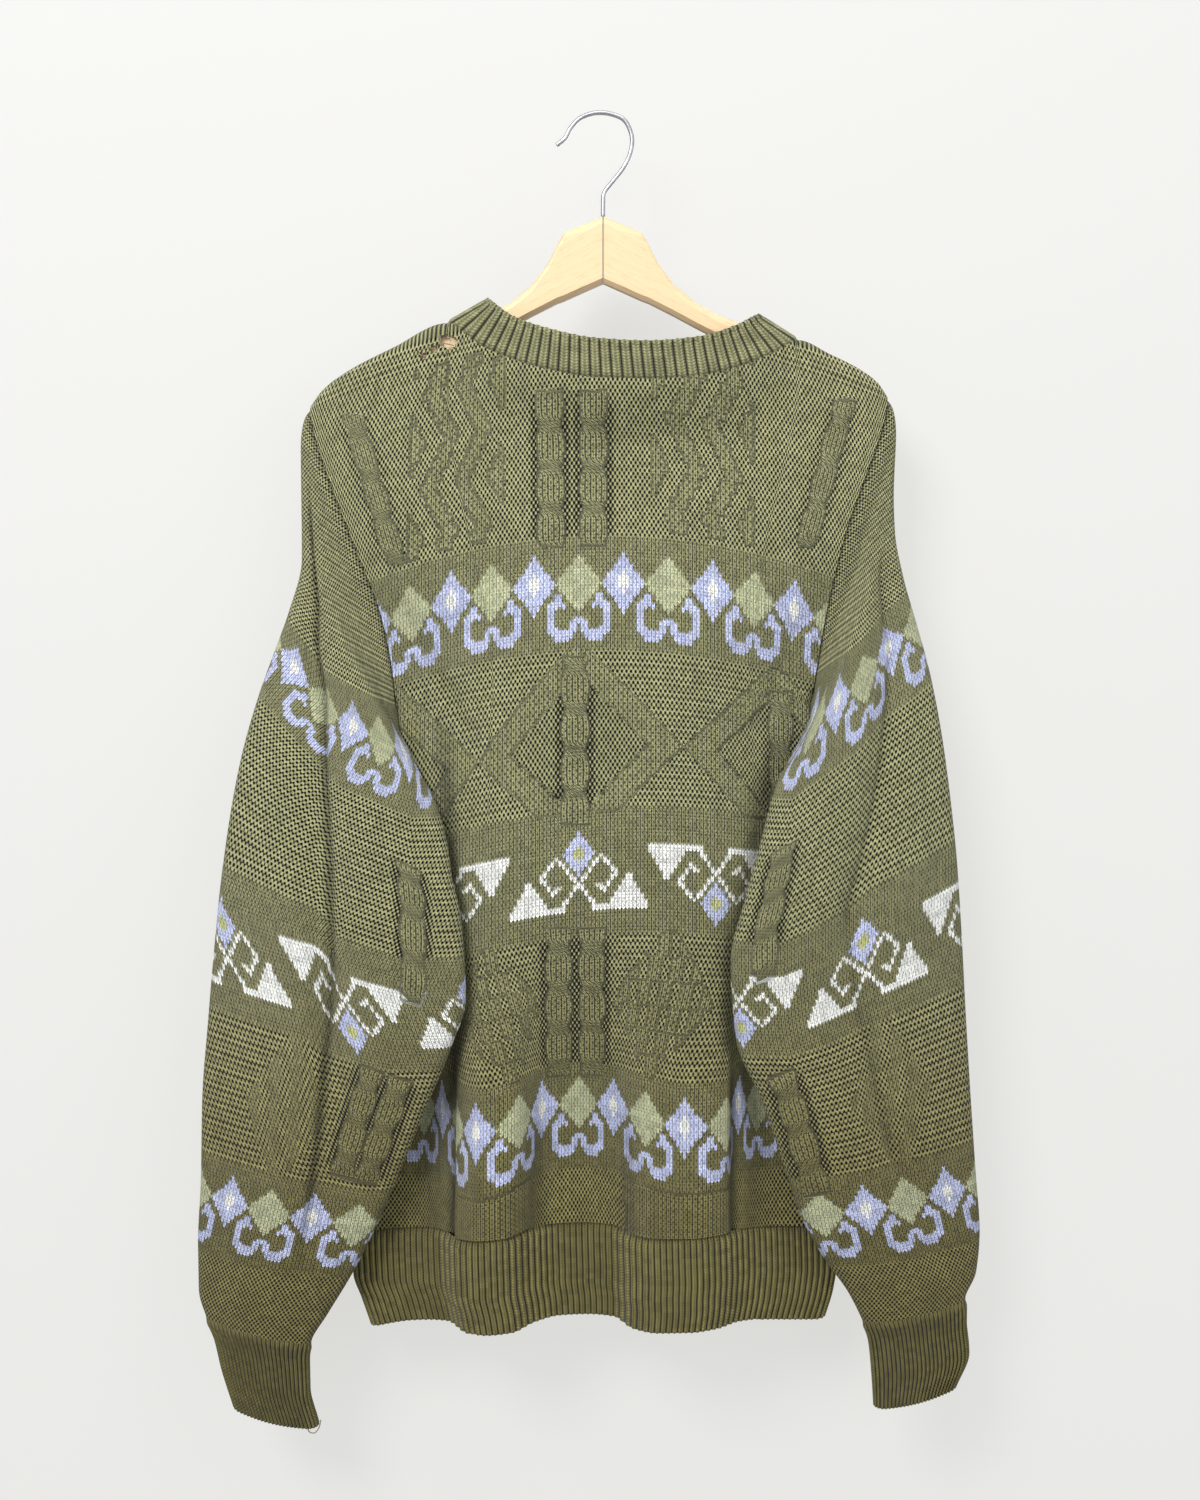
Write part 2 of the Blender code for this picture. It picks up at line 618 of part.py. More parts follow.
ARMHOLE_ROWS = (0.0, 0.008, 0.016, 0.025, 0.045, 0.09, 0.14, 0.195, 0.25, 0.30, 0.335, 0.347,
                0.355, UNDERARM)
LOWER_ROWS = (0.38, 0.42, 0.46, 0.51, 0.56, 0.61, 0.66, 0.71, 0.76, 0.81, 0.86, 0.91, 0.955, 1.0)
FOLD_ROWS = 0.78
CABLE_ROW, CABLE_COLUMN = 15.5, 4.4
MIDDLE_CABLES, LEAST_COLUMN = 60, 2.2


def panel_columns():
    """Where the panels' coarse columns run: close at the ends and at the neck points."""
    neck = [across_at(x) for x in (NECK_LEFT, -105, -98, -82, -60, -35, 0, 40, 75, 100, 122, 136, 143)]
    neck += [across_at(NECK_RIGHT)]
    left = [0.0, 0.008, 0.022, 0.045, 0.08, 0.125, 0.18]
    right = [1 - share for share in reversed(left[:-2])]
    return left + neck + right


def hem_columns():
    """Where the coarse columns run low on the panels and round the rib: on each fold."""
    first, last = HEM_FOLDS[0][0], HEM_FOLDS[-1][0]
    folds = [(row[0] - first) / (last - first) for row in HEM_FOLDS]
    middles = [(before + after) / 2 for before, after in zip(folds, folds[1:])]
    return sorted(folds + middles + [0.008, 0.016, 0.984, 0.992])


def panel_rows():
    """The outer skin's rows: the coarse ones, and closer ones where a cable runs."""
    fixed = list(ARMHOLE_ROWS) + list(LOWER_ROWS)
    wanted = set(fixed)
    neck = top_edge(BACK, 0.5)[1]
    for top_x, top_z, low_x, low_z, width in BODY_CABLES:
        steps = round((top_z - low_z) / CABLE_ROW)
        if abs(top_x) < MIDDLE_CABLES:
            wanted |= {(neck - top_z + (top_z - low_z) * i / steps) / PANEL_DROP for i in range(steps + 1)}
    kept = []
    for down in sorted(wanted):
        close = kept and (down - kept[-1]) * PANEL_DROP < 0.55 * CABLE_ROW and (down not in fixed or kept[-1] not in fixed)
        if close and down not in fixed:
            continue
        if close and kept[-1] not in fixed:
            kept.pop()
        kept.append(down)
    return kept


def panel_line(face, down, coarse):
    """One row's columns: the coarse ones and five over each cable that the row crosses."""
    line = set(coarse)
    left, right = edge_at(down)
    z = float(panel(BACK, np.array(0.5), np.array(down))[2])
    for top_x, top_z, low_x, low_z, width in panel_cables(face):
        if low_z - CABLE_ROW / 2 < z < top_z + CABLE_ROW / 2:
            middle = top_x + (low_x - top_x) * (z - top_z) / (low_z - top_z)
            line |= {(middle + i * CABLE_COLUMN - left) / (right - left) for i in range(-2, 3)}
    return thin_out(sorted(line), coarse, LEAST_COLUMN / (right - left))


def body_panel(face, name, collection, material):
    knit = Knit(name)
    rows = panel_rows()
    coarse = {down: hem_columns() if down > FOLD_ROWS else panel_columns() for down in rows}
    lines = [panel_line(face, down, coarse[down]) for down in rows]
    outer = skin(knit, [panel_row(face, line, down, True) for down, line in zip(rows, lines)], lines, False)
    plain = [down for down in rows if down in ARMHOLE_ROWS or down in LOWER_ROWS[1::2]]
    plain_lines = [coarse[down] for down in plain]
    inner = skin(knit, [panel_row(face, coarse[down], down, False) for down in plain], plain_lines, False)
    for end in (0, -1):
        knit.between(*outer[end], *inner[end])
        knit.between([row[0][end] for row in outer], rows, [row[0][end] for row in inner], plain)
    return knit.finish(collection, material)


def edge_at(down):
    return [float(panel(BACK, np.array(end), np.array(down))[0]) for end in (0.0, 1.0)]


def thin_out(line, keep, least):
    """Drops the places that crowd others closer than the least share. Kept ones stay."""
    found = []
    for share in line:
        if found and share - found[-1] < least:
            if share in keep and found[-1] not in keep:
                found[-1] = share
            elif share in keep:
                found.append(share)
            continue
        found.append(share)
    return found


def panel_row(face, line, down, raised):
    """One row of a panel's points, drawn in from the panel's edges by half a seam's gap."""
    left, right = edge_at(down)
    inset = 0.5 * GAP / (right - left)
    shares = np.clip(np.array(line, float), inset, 1 - inset)
    level = np.clip(np.full(shares.shape, down), 0.5 * GAP / PANEL_DROP, 1 - 0.5 * GAP / PANEL_DROP)
    points = panel(face, shares, level)
    normals = panel_normal(face, shares, level)
    if raised:
        return points + normals * body_relief(face, points)[:, None]
    return points - normals * WALL


ARMHOLE_TURNS = tuple(down / UNDERARM / 2 for down in ARMHOLE_ROWS)
SLEEVE_TURNS = ARMHOLE_TURNS + tuple(1 - turn for turn in reversed(ARMHOLE_TURNS[1:-1]))
SLEEVE_STOPS = (0.0, 0.15, 0.4, 0.7, 1.0, 1.5, 2.1, 2.8, 3.5, 4.2, 5.0, 6.0, 7.0, 8.0, 9.0, 10.0, 11.0,
                12.0, 13.0, 14.0, 15.0, CUFF_SEAM)
SLEEVE_CABLE_STEP = 0.4
SLEEVE_PLAIN = SLEEVE_STOPS[:10] + (5.0, 6.0, 8.0, 10.0, 12.0, 15.0, CUFF_SEAM)


def sleeve_row(side, turns, at, raised):
    turns = np.array(turns, float)
    at = np.full(turns.shape, float(at))
    points, normals = sleeve(side, turns, at), sleeve_normal(side, turns, at)
    if at[0] == 0:
        ahead = sleeve(side, turns, at + 0.01) - points
        points = points + GAP * ahead / np.linalg.norm(ahead, axis=-1, keepdims=True)
    if raised:
        return points + normals * sleeve_relief(side, turns, at, points)[:, None]
    return points - normals * WALL


def sleeve_tube(side, name, collection, material):
    knit = Knit(name)
    stops = set(SLEEVE_STOPS)
    for place, start, end, width in SLEEVE_CABLES[side]:
        count = round((end - start) / SLEEVE_CABLE_STEP)
        stops |= {round(start + (end - start) * i / count, 3) for i in range(count + 1)}
    stops = sorted(stops)
    stops = [at for i, at in enumerate(stops) if i == 0 or at in SLEEVE_STOPS or at - stops[i - 1] > 0.1]
    lines = []
    for at in stops:
        line = set(SLEEVE_TURNS)
        ox, oz, ix, iz = section(side, max(at, 1.0))[:4]
        wide = float(np.hypot(ix - ox, iz - oz))
        for place, start, end, width in SLEEVE_CABLES[side]:
            if not start - 0.05 < at < end + 0.05:
                continue
            for i in range(-2, 3):
                line.add(ring_turn(wide, place + i * CABLE_COLUMN / wide, fold_round(at)))
        lines.append(thin_out(sorted(line), SLEEVE_TURNS, 0.006))
    nudge = 0.5 * GAP / SLEEVE_PACE
    levels = [min(at, CUFF_SEAM - nudge) for at in stops]
    outer = skin(knit, [sleeve_row(side, line, at, True) for line, at in zip(lines, levels)], lines, True)
    plain = SLEEVE_PLAIN
    inner = skin(knit, [sleeve_row(side, SLEEVE_TURNS, min(at, CUFF_SEAM - nudge), False) for at in plain],
                 [SLEEVE_TURNS] * len(plain), True)
    for end in (0, -1):
        knit.between(*outer[end], *inner[end])
    return knit.finish(collection, material)


def ribbed_turns(ribs):
    return [i / (2 * ribs) for i in range(2 * ribs)]


def tube_band(name, surface, normal, coarse, fine, first, last, seam_first, collection, material):
    """A ribbed band: plain edge along its seam, then ribs out to its free edge."""
    knit = Knit(name)
    flare = first + (last - first) * RIB_START
    seam = surface(coarse, np.full(len(coarse), seam_first))
    rib = np.where(np.arange(len(fine)) % 2 == 0, RIB_HEIGHT, 0.0)[:, None]
    outer_rows, lines = [seam], [coarse]
    for at in (flare, last):
        level = np.full(len(fine), at)
        outer_rows.append(surface(fine, level) + normal(fine, level) * rib)
        lines.append(fine)
    outer = skin(knit, outer_rows, lines, True)
    inner_rows = []
    for at in (seam_first, flare, 0.5 * (flare + last), last):
        level = np.full(len(coarse), at)
        inner_rows.append(surface(coarse, level) - normal(coarse, level) * WALL)
    inner = skin(knit, inner_rows, [coarse] * 4, True)
    for end in (0, -1):
        knit.between(*outer[end], *inner[end])
    return knit.finish(collection, material)


def cuff(side, name, collection, material):
    nudge = 0.5 * GAP / CUFF_PACE
    return tube_band(name, lambda turn, at: sleeve(side, turn, at),
                     lambda turn, at: sleeve_normal(side, turn, at),
                     np.array(SLEEVE_TURNS), np.array(ribbed_turns(CUFF_RIBS)),
                     CUFF_SEAM, CUFF_EDGE, CUFF_SEAM + nudge, collection, material)


def neck_turns():
    """The panels' columns along the neckline, as turns of the neckband."""
    span = across_at(NECK_RIGHT) - across_at(NECK_LEFT)
    shares = [(across - across_at(NECK_LEFT)) / span for across in panel_columns()]
    shares = [min(max(share, 0.0), 1.0) for share in shares if -1e-6 < share < 1 + 1e-6]
    back = [share / 2 for share in shares]
    return back + [1 - turn for turn in reversed(back[1:-1])]


def neck_rib(name, collection, material):
    nudge = BAND_LEAN * GAP / BAND_HEIGHT
    return tube_band(name, neckband, neckband_normal, np.array(neck_turns()),
                     np.array(ribbed_turns(BAND_RIBS)), 0.0, 1.0, nudge, collection, material)


def hem_rib(face, name, collection, material):
    knit = Knit(name)
    coarse = hem_columns()
    fine = [i / (2 * HEM_RIBS) for i in range(2 * HEM_RIBS + 1)]
    levels = (1.0 + 0.5 * GAP / PANEL_DROP, 1.012, HEM)
    rib = np.where(np.arange(len(fine)) % 2 == 1, RIB_HEIGHT, 0.0)[:, None]
    outer_rows = [hem_row(face, coarse, levels[0], 0.0)]
    outer_rows += [hem_row(face, fine, at, rib) for at in levels[1:]]
    outer = skin(knit, outer_rows, [coarse, fine, fine], False)
    inner = skin(knit, [hem_row(face, coarse, at, -WALL) for at in levels[::2]], [coarse] * 2, False)
    for end in (0, -1):
        knit.between(*outer[end], *inner[end])
        knit.between([row[0][end] for row in outer], levels, [row[0][end] for row in inner], levels[::2])
    return knit.finish(collection, material)


def hem_row(face, line, at, lift):
    width = float(np.diff(edge_at(at))[0])
    shares = np.clip(np.array(line, float), 0.5 * GAP / width, 1 - 0.5 * GAP / width)
    level = np.full(shares.shape, at)
    return panel(face, shares, level) + panel_normal(face, shares, level) * lift


def arm_section(x, top, bottom, squeeze):
    """An upright cut through the board: a half-round top and eased lower edges."""
    half = HANGER_THICKNESS / 2 * squeeze
    ease = 0.5 * half
    outline = []
    for step in range(9):
        angle = math.pi * step / 8
        outline.append((half * math.cos(angle), top - half + half * math.sin(angle)))
    outline += [(-half, bottom + ease), (-half + ease, bottom), (half - ease, bottom), (half, bottom + ease)]
    return [(x, y, z) for y, z in outline]


def hanger_arm(side, name, collection, material):
    """Half of the hanger: an upright board with a rounded top, lofted out from the mitre."""
    out = SIDES[side]
    sections = [arm_section(HANGER_MIDDLE + out * row[0], row[1], row[2], 1.0) for row in HEAD]
    start, end = ARM_STARTS[side], ARM_ENDS[side]
    for i in range(ARM_STEPS + 1):
        x = start + (end - start) * i / ARM_STEPS
        top = shoulder_line(x) - ARM_SEAT / math.cos(ARM_SLOPE)
        sections.append(arm_section(x, top, top - ARM_HEIGHT / math.cos(ARM_SLOPE), 1.0))
    tip = end + out * 2.5
    top = shoulder_line(end) - ARM_SEAT / math.cos(ARM_SLOPE) - 6.0
    sections.append(arm_section(tip, top, top - 0.7 * ARM_HEIGHT, 0.6))
    bm = bmesh.new()
    rings = [[bm.verts.new([c * MM for c in point]) for point in points] for points in sections]
    count = len(rings[0])
    for first, second in zip(rings, rings[1:]):
        for j in range(count):
            bm.faces.new((first[j], first[(j + 1) % count], second[(j + 1) % count], second[j]))
    bm.faces.new(rings[0])
    bm.faces.new(rings[-1])
    bmesh.ops.recalc_face_normals(bm, faces=bm.faces)
    mesh = bpy.data.meshes.new(name)
    bm.to_mesh(mesh)
    bm.free()
    mesh.materials.append(material)
    mesh.shade_smooth()
    mesh.set_sharp_from_angle(angle=math.radians(40))
    arm = bpy.data.objects.new(name, mesh)
    collection.objects.link(arm)
    return arm


def shoulder_line(x):
    """Height of the outer cloth over the hanger's arm, under the neckband too."""
    rows = [row[:2] for row in TOP_EDGE if row[0] <= NECK_LEFT]
    rows += [(BAND_EDGE[0][1], BAND_EDGE[0][2]), (BAND_EDGE[-1][1], BAND_EDGE[-1][2])]
    rows += [row[:2] for row in TOP_EDGE if row[0] >= NECK_RIGHT]
    return float(curve([row[0] for row in rows], [row[1] for row in rows], x))


def hanger_hook(name, collection, material):
    wire = bpy.data.curves.new(name, "CURVE")
    wire.dimensions = "3D"
    wire.bevel_depth = HOOK_WIRE * MM
    wire.bevel_resolution = 1
    wire.use_fill_caps = True
    count = 2 * (len(HOOK_ROUTE) - 1)
    places = [i * (len(HOOK_ROUTE) - 1) / count for i in range(count + 1)]
    steps = range(len(HOOK_ROUTE))
    xs = smooth_route([row[0] for row in HOOK_ROUTE], places)
    zs = smooth_route([row[1] for row in HOOK_ROUTE], places)
    line = wire.splines.new("POLY")
    line.points.add(count)
    for point, x, z in zip(line.points, xs, zs):
        point.co = (x * MM, 0.0, z * MM, 1.0)
    wire.materials.append(material)
    hook = bpy.data.objects.new(name, wire)
    collection.objects.link(hook)
    return hook


def smooth_route(values, places):
    """Catmull-Rom through the values, one unit apart."""
    found = []
    last = len(values) - 1
    for place in places:
        i = min(int(place), last - 1)
        t = place - i
        a, b, c, d = (values[max(i - 1, 0)], values[i], values[i + 1], values[min(i + 2, last)])
        found.append(0.5 * (2 * b + (c - a) * t + (2 * a - 5 * b + 4 * c - d) * t**2
                            + (3 * b - a - 3 * c + d) * t**3))
    return found


def tear_holes(torn, collection):
    """Cuts the dropped stitches' holes through the torn panel, near the left neck point."""
    bm = bmesh.new()
    for x, z, half_x, half_z in TEAR:
        made = bmesh.ops.create_cone(bm, cap_ends=True, segments=TEAR_SIDES, radius1=MM, radius2=MM,
                                     depth=TEAR_DEPTH * MM)["verts"]
        bmesh.ops.scale(bm, vec=(half_x, half_z, 1.0), verts=made)
        bmesh.ops.rotate(bm, cent=(0, 0, 0), matrix=Matrix.Rotation(math.pi / 2, 3, "X"), verts=made)
        bmesh.ops.translate(bm, vec=(x * MM, -TEAR_MIDDLE * MM, z * MM), verts=made)
    bmesh.ops.recalc_face_normals(bm, faces=bm.faces)
    mesh = bpy.data.meshes.new("tear_cutter")
    bm.to_mesh(mesh)
    bm.free()
    cutter = bpy.data.objects.new("tear_cutter", mesh)
    cutter.hide_render = True
    cutter.display_type = "WIRE"
    collection.objects.link(cutter)
    holes = torn.modifiers.new("tear", "BOOLEAN")
    holes.operation = "DIFFERENCE"
    holes.solver = "EXACT"
    holes.object = cutter


def make():
    for old in list(bpy.data.objects):
        bpy.data.objects.remove(old, do_unlink=True)
    collection = bpy.data.collections.new("cable_knit_sweater")
    bpy.context.scene.collection.children.link(collection)
    wool = cloth_material("olive_knit", OLIVE, 0.95)
    wood = cloth_material("pale_wood", BEECH, 0.5)
    steel = cloth_material("steel_wire", ZINC, 0.35, 1.0)
    cutters = bpy.data.collections.new("cutters")
    bpy.context.scene.collection.children.link(cutters)
    cutters.hide_render = True
    tear_holes(body_panel(BACK, "back", collection, wool), cutters)
    body_panel(FRONT, "front", collection, wool)
    hem_rib(BACK, "hem_rib_back", collection, wool)
    hem_rib(FRONT, "hem_rib_front", collection, wool)
    for side in SIDES:
        sleeve_tube(side, "sleeve_" + side, collection, wool)
        cuff(side, "cuff_" + side, collection, wool)
    neck_rib("neckband", collection, wool)
    for side in SIDES:
        hanger_arm(side, "hanger_arm_" + side, collection, wood)
    hanger_hook("hanger_hook", collection, steel)


make()
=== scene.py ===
"""Olive cable knit sweater on a pale wooden hanger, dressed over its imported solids.
Measures are the garment's own, in millimetres, until a mesh is laid in metres."""

import math

import bpy
import numpy as np
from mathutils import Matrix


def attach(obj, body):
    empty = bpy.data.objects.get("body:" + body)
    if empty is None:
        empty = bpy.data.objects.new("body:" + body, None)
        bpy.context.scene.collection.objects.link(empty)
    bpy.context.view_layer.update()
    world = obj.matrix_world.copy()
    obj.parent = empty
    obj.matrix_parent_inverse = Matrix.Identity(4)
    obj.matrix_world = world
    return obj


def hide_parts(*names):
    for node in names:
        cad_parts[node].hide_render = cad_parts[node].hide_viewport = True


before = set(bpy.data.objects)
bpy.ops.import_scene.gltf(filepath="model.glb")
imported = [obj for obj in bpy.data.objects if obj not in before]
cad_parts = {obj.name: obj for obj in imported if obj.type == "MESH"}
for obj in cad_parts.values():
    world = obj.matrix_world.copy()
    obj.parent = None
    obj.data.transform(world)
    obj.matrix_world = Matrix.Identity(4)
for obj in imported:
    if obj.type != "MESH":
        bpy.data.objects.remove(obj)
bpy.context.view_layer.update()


# ---- View, wall and floor ----
# The camera looks a little down at the garment's back, in front of a pale wall. Wall and
# floor glow evenly, take soft shadows, and are clear from the side away from the garment.
BACKDROP, FLOOR, REACH, CEILING = 0.056, -1.4, 3, 2
eye = bpy.data.cameras.new("eye")
eye.lens, eye.sensor_width, eye.clip_start, eye.clip_end = 39.6, 36.0, 0.01, 20.0
eye_stand = bpy.data.objects.new("eye", eye)
eye_stand.location = (0.0028, -1.2027, -0.3668)
eye_stand.rotation_euler = (math.radians(86), 0, 0)
bpy.context.scene.collection.objects.link(eye_stand)
bpy.context.scene.camera = eye_stand


def joining(operation):
    """A method that joins a dye with a dye or a number in a Math node."""
    return lambda self, other: self.maths(operation, self, other)


class Dye:
    """A value in a finish. Sums, products and comparisons of dyes become Math nodes."""

    __add__, __sub__ = joining("ADD"), joining("SUBTRACT")
    __mul__, __truediv__ = joining("MULTIPLY"), joining("DIVIDE")
    __lt__, __gt__ = joining("LESS_THAN"), joining("GREATER_THAN")
    __radd__, __rmul__ = __add__, __mul__

    def __init__(self, tree, socket=None):
        self.tree, self.socket = tree, socket

    def node(self, kind, settings, fed, out=0):
        made = self.tree.nodes.new(kind)
        for name, value in settings.items():
            setattr(made, name, value)
        for name, value in fed.items():
            if isinstance(value, Dye):
                self.tree.links.new(value.socket, made.inputs[name])
            else:
                made.inputs[name].default_value = value
        return Dye(self.tree, made.outputs[out])

    def maths(self, operation, *fed):
        return self.node("ShaderNodeMath", {"operation": operation}, dict(enumerate(fed)))

    def __rsub__(self, other):
        return self.maths("SUBTRACT", other, self)

    def __abs__(self):
        return self.maths("ABSOLUTE", self)

    def blend(self, first, second, share, kind="MIX"):
        """A colour from two, by a share."""
        return self.node("ShaderNodeMix", {"data_type": "RGBA", "blend_type": kind},
                         {0: share, 6: first, 7: second}, 2)

    def noise(self, scale, detail, **fed):
        return self.node("ShaderNodeTexNoise", {}, {"Scale": scale, "Detail": detail, **fed})

    def split(self, vector, axis):
        return self.node("ShaderNodeSeparateXYZ", {}, {0: vector}, axis)

    def ramp(self, value, low, high):
        """A soft step of a value, from 0 at low to 1 at high."""
        return self.node("ShaderNodeMapRange", {"interpolation_type": "SMOOTHSTEP"},
                         {0: value, 1: low, 2: high, 3: 0.0, 4: 1.0})

    def into(self, shader, name):
        self.tree.links.new(self.socket, shader.inputs[name])


def finish(name, **constants):
    """A new material with its shader, and a dye pot for its nodes."""
    made = bpy.data.materials.new(name)
    made.use_nodes = True
    shader = made.node_tree.nodes["Principled BSDF"]
    for socket, value in constants.items():
        shader.inputs[socket.replace("_", " ")].default_value = value
    return made, shader, Dye(made.node_tree)


def link(made):
    bpy.context.scene.collection.objects.link(made)


def stage_sheet(name, corners):
    """A matt sheet of the room, which lights nothing but itself."""
    mesh = bpy.data.meshes.new(name)
    mesh.from_pydata(corners, [], [(0, 1, 2, 3)])
    sheet = bpy.data.objects.new(name, mesh)
    link(sheet)
    paint, shader, pot = finish(name, Base_Color=(0.165, 0.164, 0.158, 1), Roughness=0.9,
                                Emission_Color=(1.0, 0.995, 0.965, 1), Emission_Strength=0.635)
    behind = pot.node("ShaderNodeNewGeometry", {}, {}, "Backfacing")
    clear = pot.node("ShaderNodeBsdfTransparent", {}, {})
    painted = Dye(paint.node_tree, shader.outputs[0])
    seen = pot.node("ShaderNodeMixShader", {}, {0: behind, 1: painted, 2: clear})
    seen.into(paint.node_tree.nodes["Material Output"], "Surface")
    mesh.materials.append(paint)
    sheet.visible_diffuse = sheet.visible_shadow = sheet.visible_glossy = False


stage_sheet("wall", [(-REACH, BACKDROP, FLOOR), (REACH, BACKDROP, FLOOR),
                     (REACH, BACKDROP, CEILING), (-REACH, BACKDROP, CEILING)])
stage_sheet("floor", [(-REACH, -REACH, FLOOR), (REACH, -REACH, FLOOR),
                      (REACH, BACKDROP, FLOOR), (-REACH, BACKDROP, FLOOR)])

room = bpy.data.worlds.new("room")
room.use_nodes = True
room.node_tree.nodes["Background"].inputs[0].default_value = (0.93, 0.95, 1.0, 1)
room.node_tree.nodes["Background"].inputs[1].default_value = 0.56
bpy.context.scene.world = room
bpy.context.scene.view_settings.view_transform = "Standard"

# name, watts, width, place: three soft boxes, and one for the side away from the camera
LAMPS = (("key", 50, 0.9, (-0.95, -1.75, 1.0)), ("fill", 14, 1.8, (1.7, -1.9, 0.2)),
         ("top", 9, 0.9, (0.2, -0.7, 1.1)), ("beyond", 22, 1.6, (0.8, 1.9, 0.3)))
LAMPS_AIM = (0.0, 0.0, -0.48)
for name, watts, width, place in LAMPS:
    lamp = bpy.data.lights.new(name, "AREA")
    lamp.energy, lamp.size = watts, width
    box = bpy.data.objects.new(name, lamp)
    box.location = place
    aim = np.array(LAMPS_AIM) - np.array(place)
    box.rotation_euler = (math.pi - math.acos(aim[2] / np.linalg.norm(aim)), 0,
                          math.atan2(aim[1], aim[0]) - math.pi / 2)
    link(box)


# ---- Hanger arms ----
# Two halves of a pale beech board, glued at a mitre under the hook and sanded smooth.
# The grain runs out and down along each arm, and the glue shows as a dark line.
MITRE, GLUE_LINE = 0.005, 0.0006
ARM_COSINE, ARM_SINE = 0.89, 0.45


def wood():
    """Pale wood with long grain and short darker flecks."""
    made, shader, pot = finish("beech_board")
    place = pot.node("ShaderNodeTexCoord", {}, {}, "Object")
    x, y, z = (pot.split(place, axis) for axis in "XYZ")
    out = abs(x - MITRE)
    along, over = out * ARM_COSINE - z * ARM_SINE, out * ARM_SINE + z * ARM_COSINE
    fibres = pot.node("ShaderNodeCombineXYZ", {}, {0: along * 6, 1: y * 60, 2: over * 95})
    grain = pot.noise(2.2, 6.0, Vector=fibres, Distortion=0.6)
    flecks = pot.noise(14.0, 2.0, Vector=fibres)
    tone = pot.blend((0.82, 0.62, 0.38, 1), (0.66, 0.46, 0.25, 1), grain)
    tone = pot.blend(tone, (0.50, 0.32, 0.16, 1), (flecks > 0.60) * 0.30)
    tone = pot.blend(tone, (0.22, 0.13, 0.07, 1), out < GLUE_LINE)
    tone.into(shader, "Base Color")
    (grain * 0.25 + 0.38).into(shader, "Roughness")
    bump = pot.node("ShaderNodeBump", {}, {"Strength": 0.12, "Distance": 0.001, "Height": grain})
    bump.into(shader, "Normal")
    return made


beech = wood()
for side in ("left", "right"):
    arm = bpy.data.objects["hanger_arm_" + side]
    arm.data.materials.clear()
    arm.data.materials.append(beech)


# ---- Hook ----
# Bent zinc-plated wire, screwed into the mitre, with its free end curled back.
HOOK_WIRE = 1.6
HOOK_ROUTE = (
    (5, -68.5), (5, -60), (6, -52), (13, -43), (20, -34), (24.5, -24), (25.5, -13), (20.5, -2),
    (11, 2.6), (0, 3.5), (-11, 0), (-18, -7), (-22, -14), (-28, -19))
MM = 0.001


def run(values, count):
    """An even walk through the values on a Catmull-Rom curve."""
    found, last = [], len(values) - 1
    for place in np.linspace(0, last, count):
        i = min(int(place), last - 1)
        t = place - i
        near = (max(i - 1, 0), i, i + 1, min(i + 2, last))
        a, b, c, d = (np.array(values[j], float) for j in near)
        found.append(0.5 * (2 * b + (c - a) * t + (2 * a - 5 * b + 4 * c - d) * t**2
                            + (3 * b - a - 3 * c + d) * t**3))
    return np.array(found)


def strand(name, route, radius, material):
    """A round strand along a route in millimetres."""
    wire = bpy.data.curves.new(name, "CURVE")
    wire.dimensions, wire.use_fill_caps = "3D", True
    wire.bevel_depth, wire.bevel_resolution = radius * MM, 3
    line = wire.splines.new("POLY")
    line.points.add(len(route) - 1)
    for point, place in zip(line.points, route):
        point.co = (*(float(c) * MM for c in place), 1.0)
    wire.materials.append(material)
    made = bpy.data.objects.new(name, wire)
    link(made)
    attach(made, "root")
    return made


zinc, zinc_shader, zinc_pot = finish("zinc_wire", Metallic=1.0)
dull = zinc_pot.noise(260.0, 4.0)
zinc_pot.blend((0.62, 0.62, 0.63, 1), (0.30, 0.30, 0.31, 1), dull).into(zinc_shader, "Base Color")
(dull * 0.3 + 0.22).into(zinc_shader, "Roughness")
hook = strand("hook_wire", [(x, 0, z) for x, z in run(HOOK_ROUTE, 90)], HOOK_WIRE, zinc)
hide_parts("hanger_hook")


# ---- Back panel ----
# The seen side: one knitted panel from the shoulder seams down to the hem's rib, with
# cables, bands of coloured motifs and textured blocks. It hangs over the arms.
HANGER_THICKNESS, SEAT, WALL = 12.0, 0.8, 2.0
SHOULDER_ROUND = HANGER_THICKNESS / 2 + SEAT + WALL
SIDE_ROUND, UNDERARM_ROUND, NECK_REACH = 8.0, 14.0, 55
BACK, FRONT = -1, 1
SIDES = {"left": -1, "right": 1}
# a stitch and a row of the knitting, and how many stitches lie between holes in purl
STITCH, ROW, LATTICE = 2.67, 2.1, 1.22
CABLE_HEIGHT, CABLE_TURN, CABLE_RIBS = 1.3, 29.5, 5
PLAIN_CABLE, FAINT_CABLE = 0.8, 0.35

# x, height at the back and front, and how far out each stands, along the upper edge
TOP_EDGE = np.array((
    (-205, -203, -203, 0, 0), (-196, -191, -191, 0, 0), (-180, -179, -179, 0, 0),
    (-145, -161, -161, 0, 0), (-107, -144, -144, 0, 0), (-105, -144.6, -144.6, 8.5, 8.5),
    (-98, -149, -150.5, 11, 11), (-82, -162, -180, 15, 13), (-60, -172, -201, 20, 17),
    (-35, -180, -215, 24, 19), (0, -186, -223, 26, 20), (40, -187, -224, 26, 20),
    (75, -184, -215, 24, 19), (100, -178, -201, 20, 17), (122, -169, -181, 15, 13),
    (136, -161, -162, 11, 11), (143, -156.6, -156.6, 8.5, 8.5), (145, -156, -156, 0, 0),
    (168, -166, -166, 0, 0), (190, -177, -177, 0, 0), (202, -186, -186, 0, 0),
    (209, -196, -196, 0, 0),
), float)
NECK_LEFT, NECK_RIGHT = -107, 145
LEFT_UNDERARM, RIGHT_UNDERARM = -418, -411
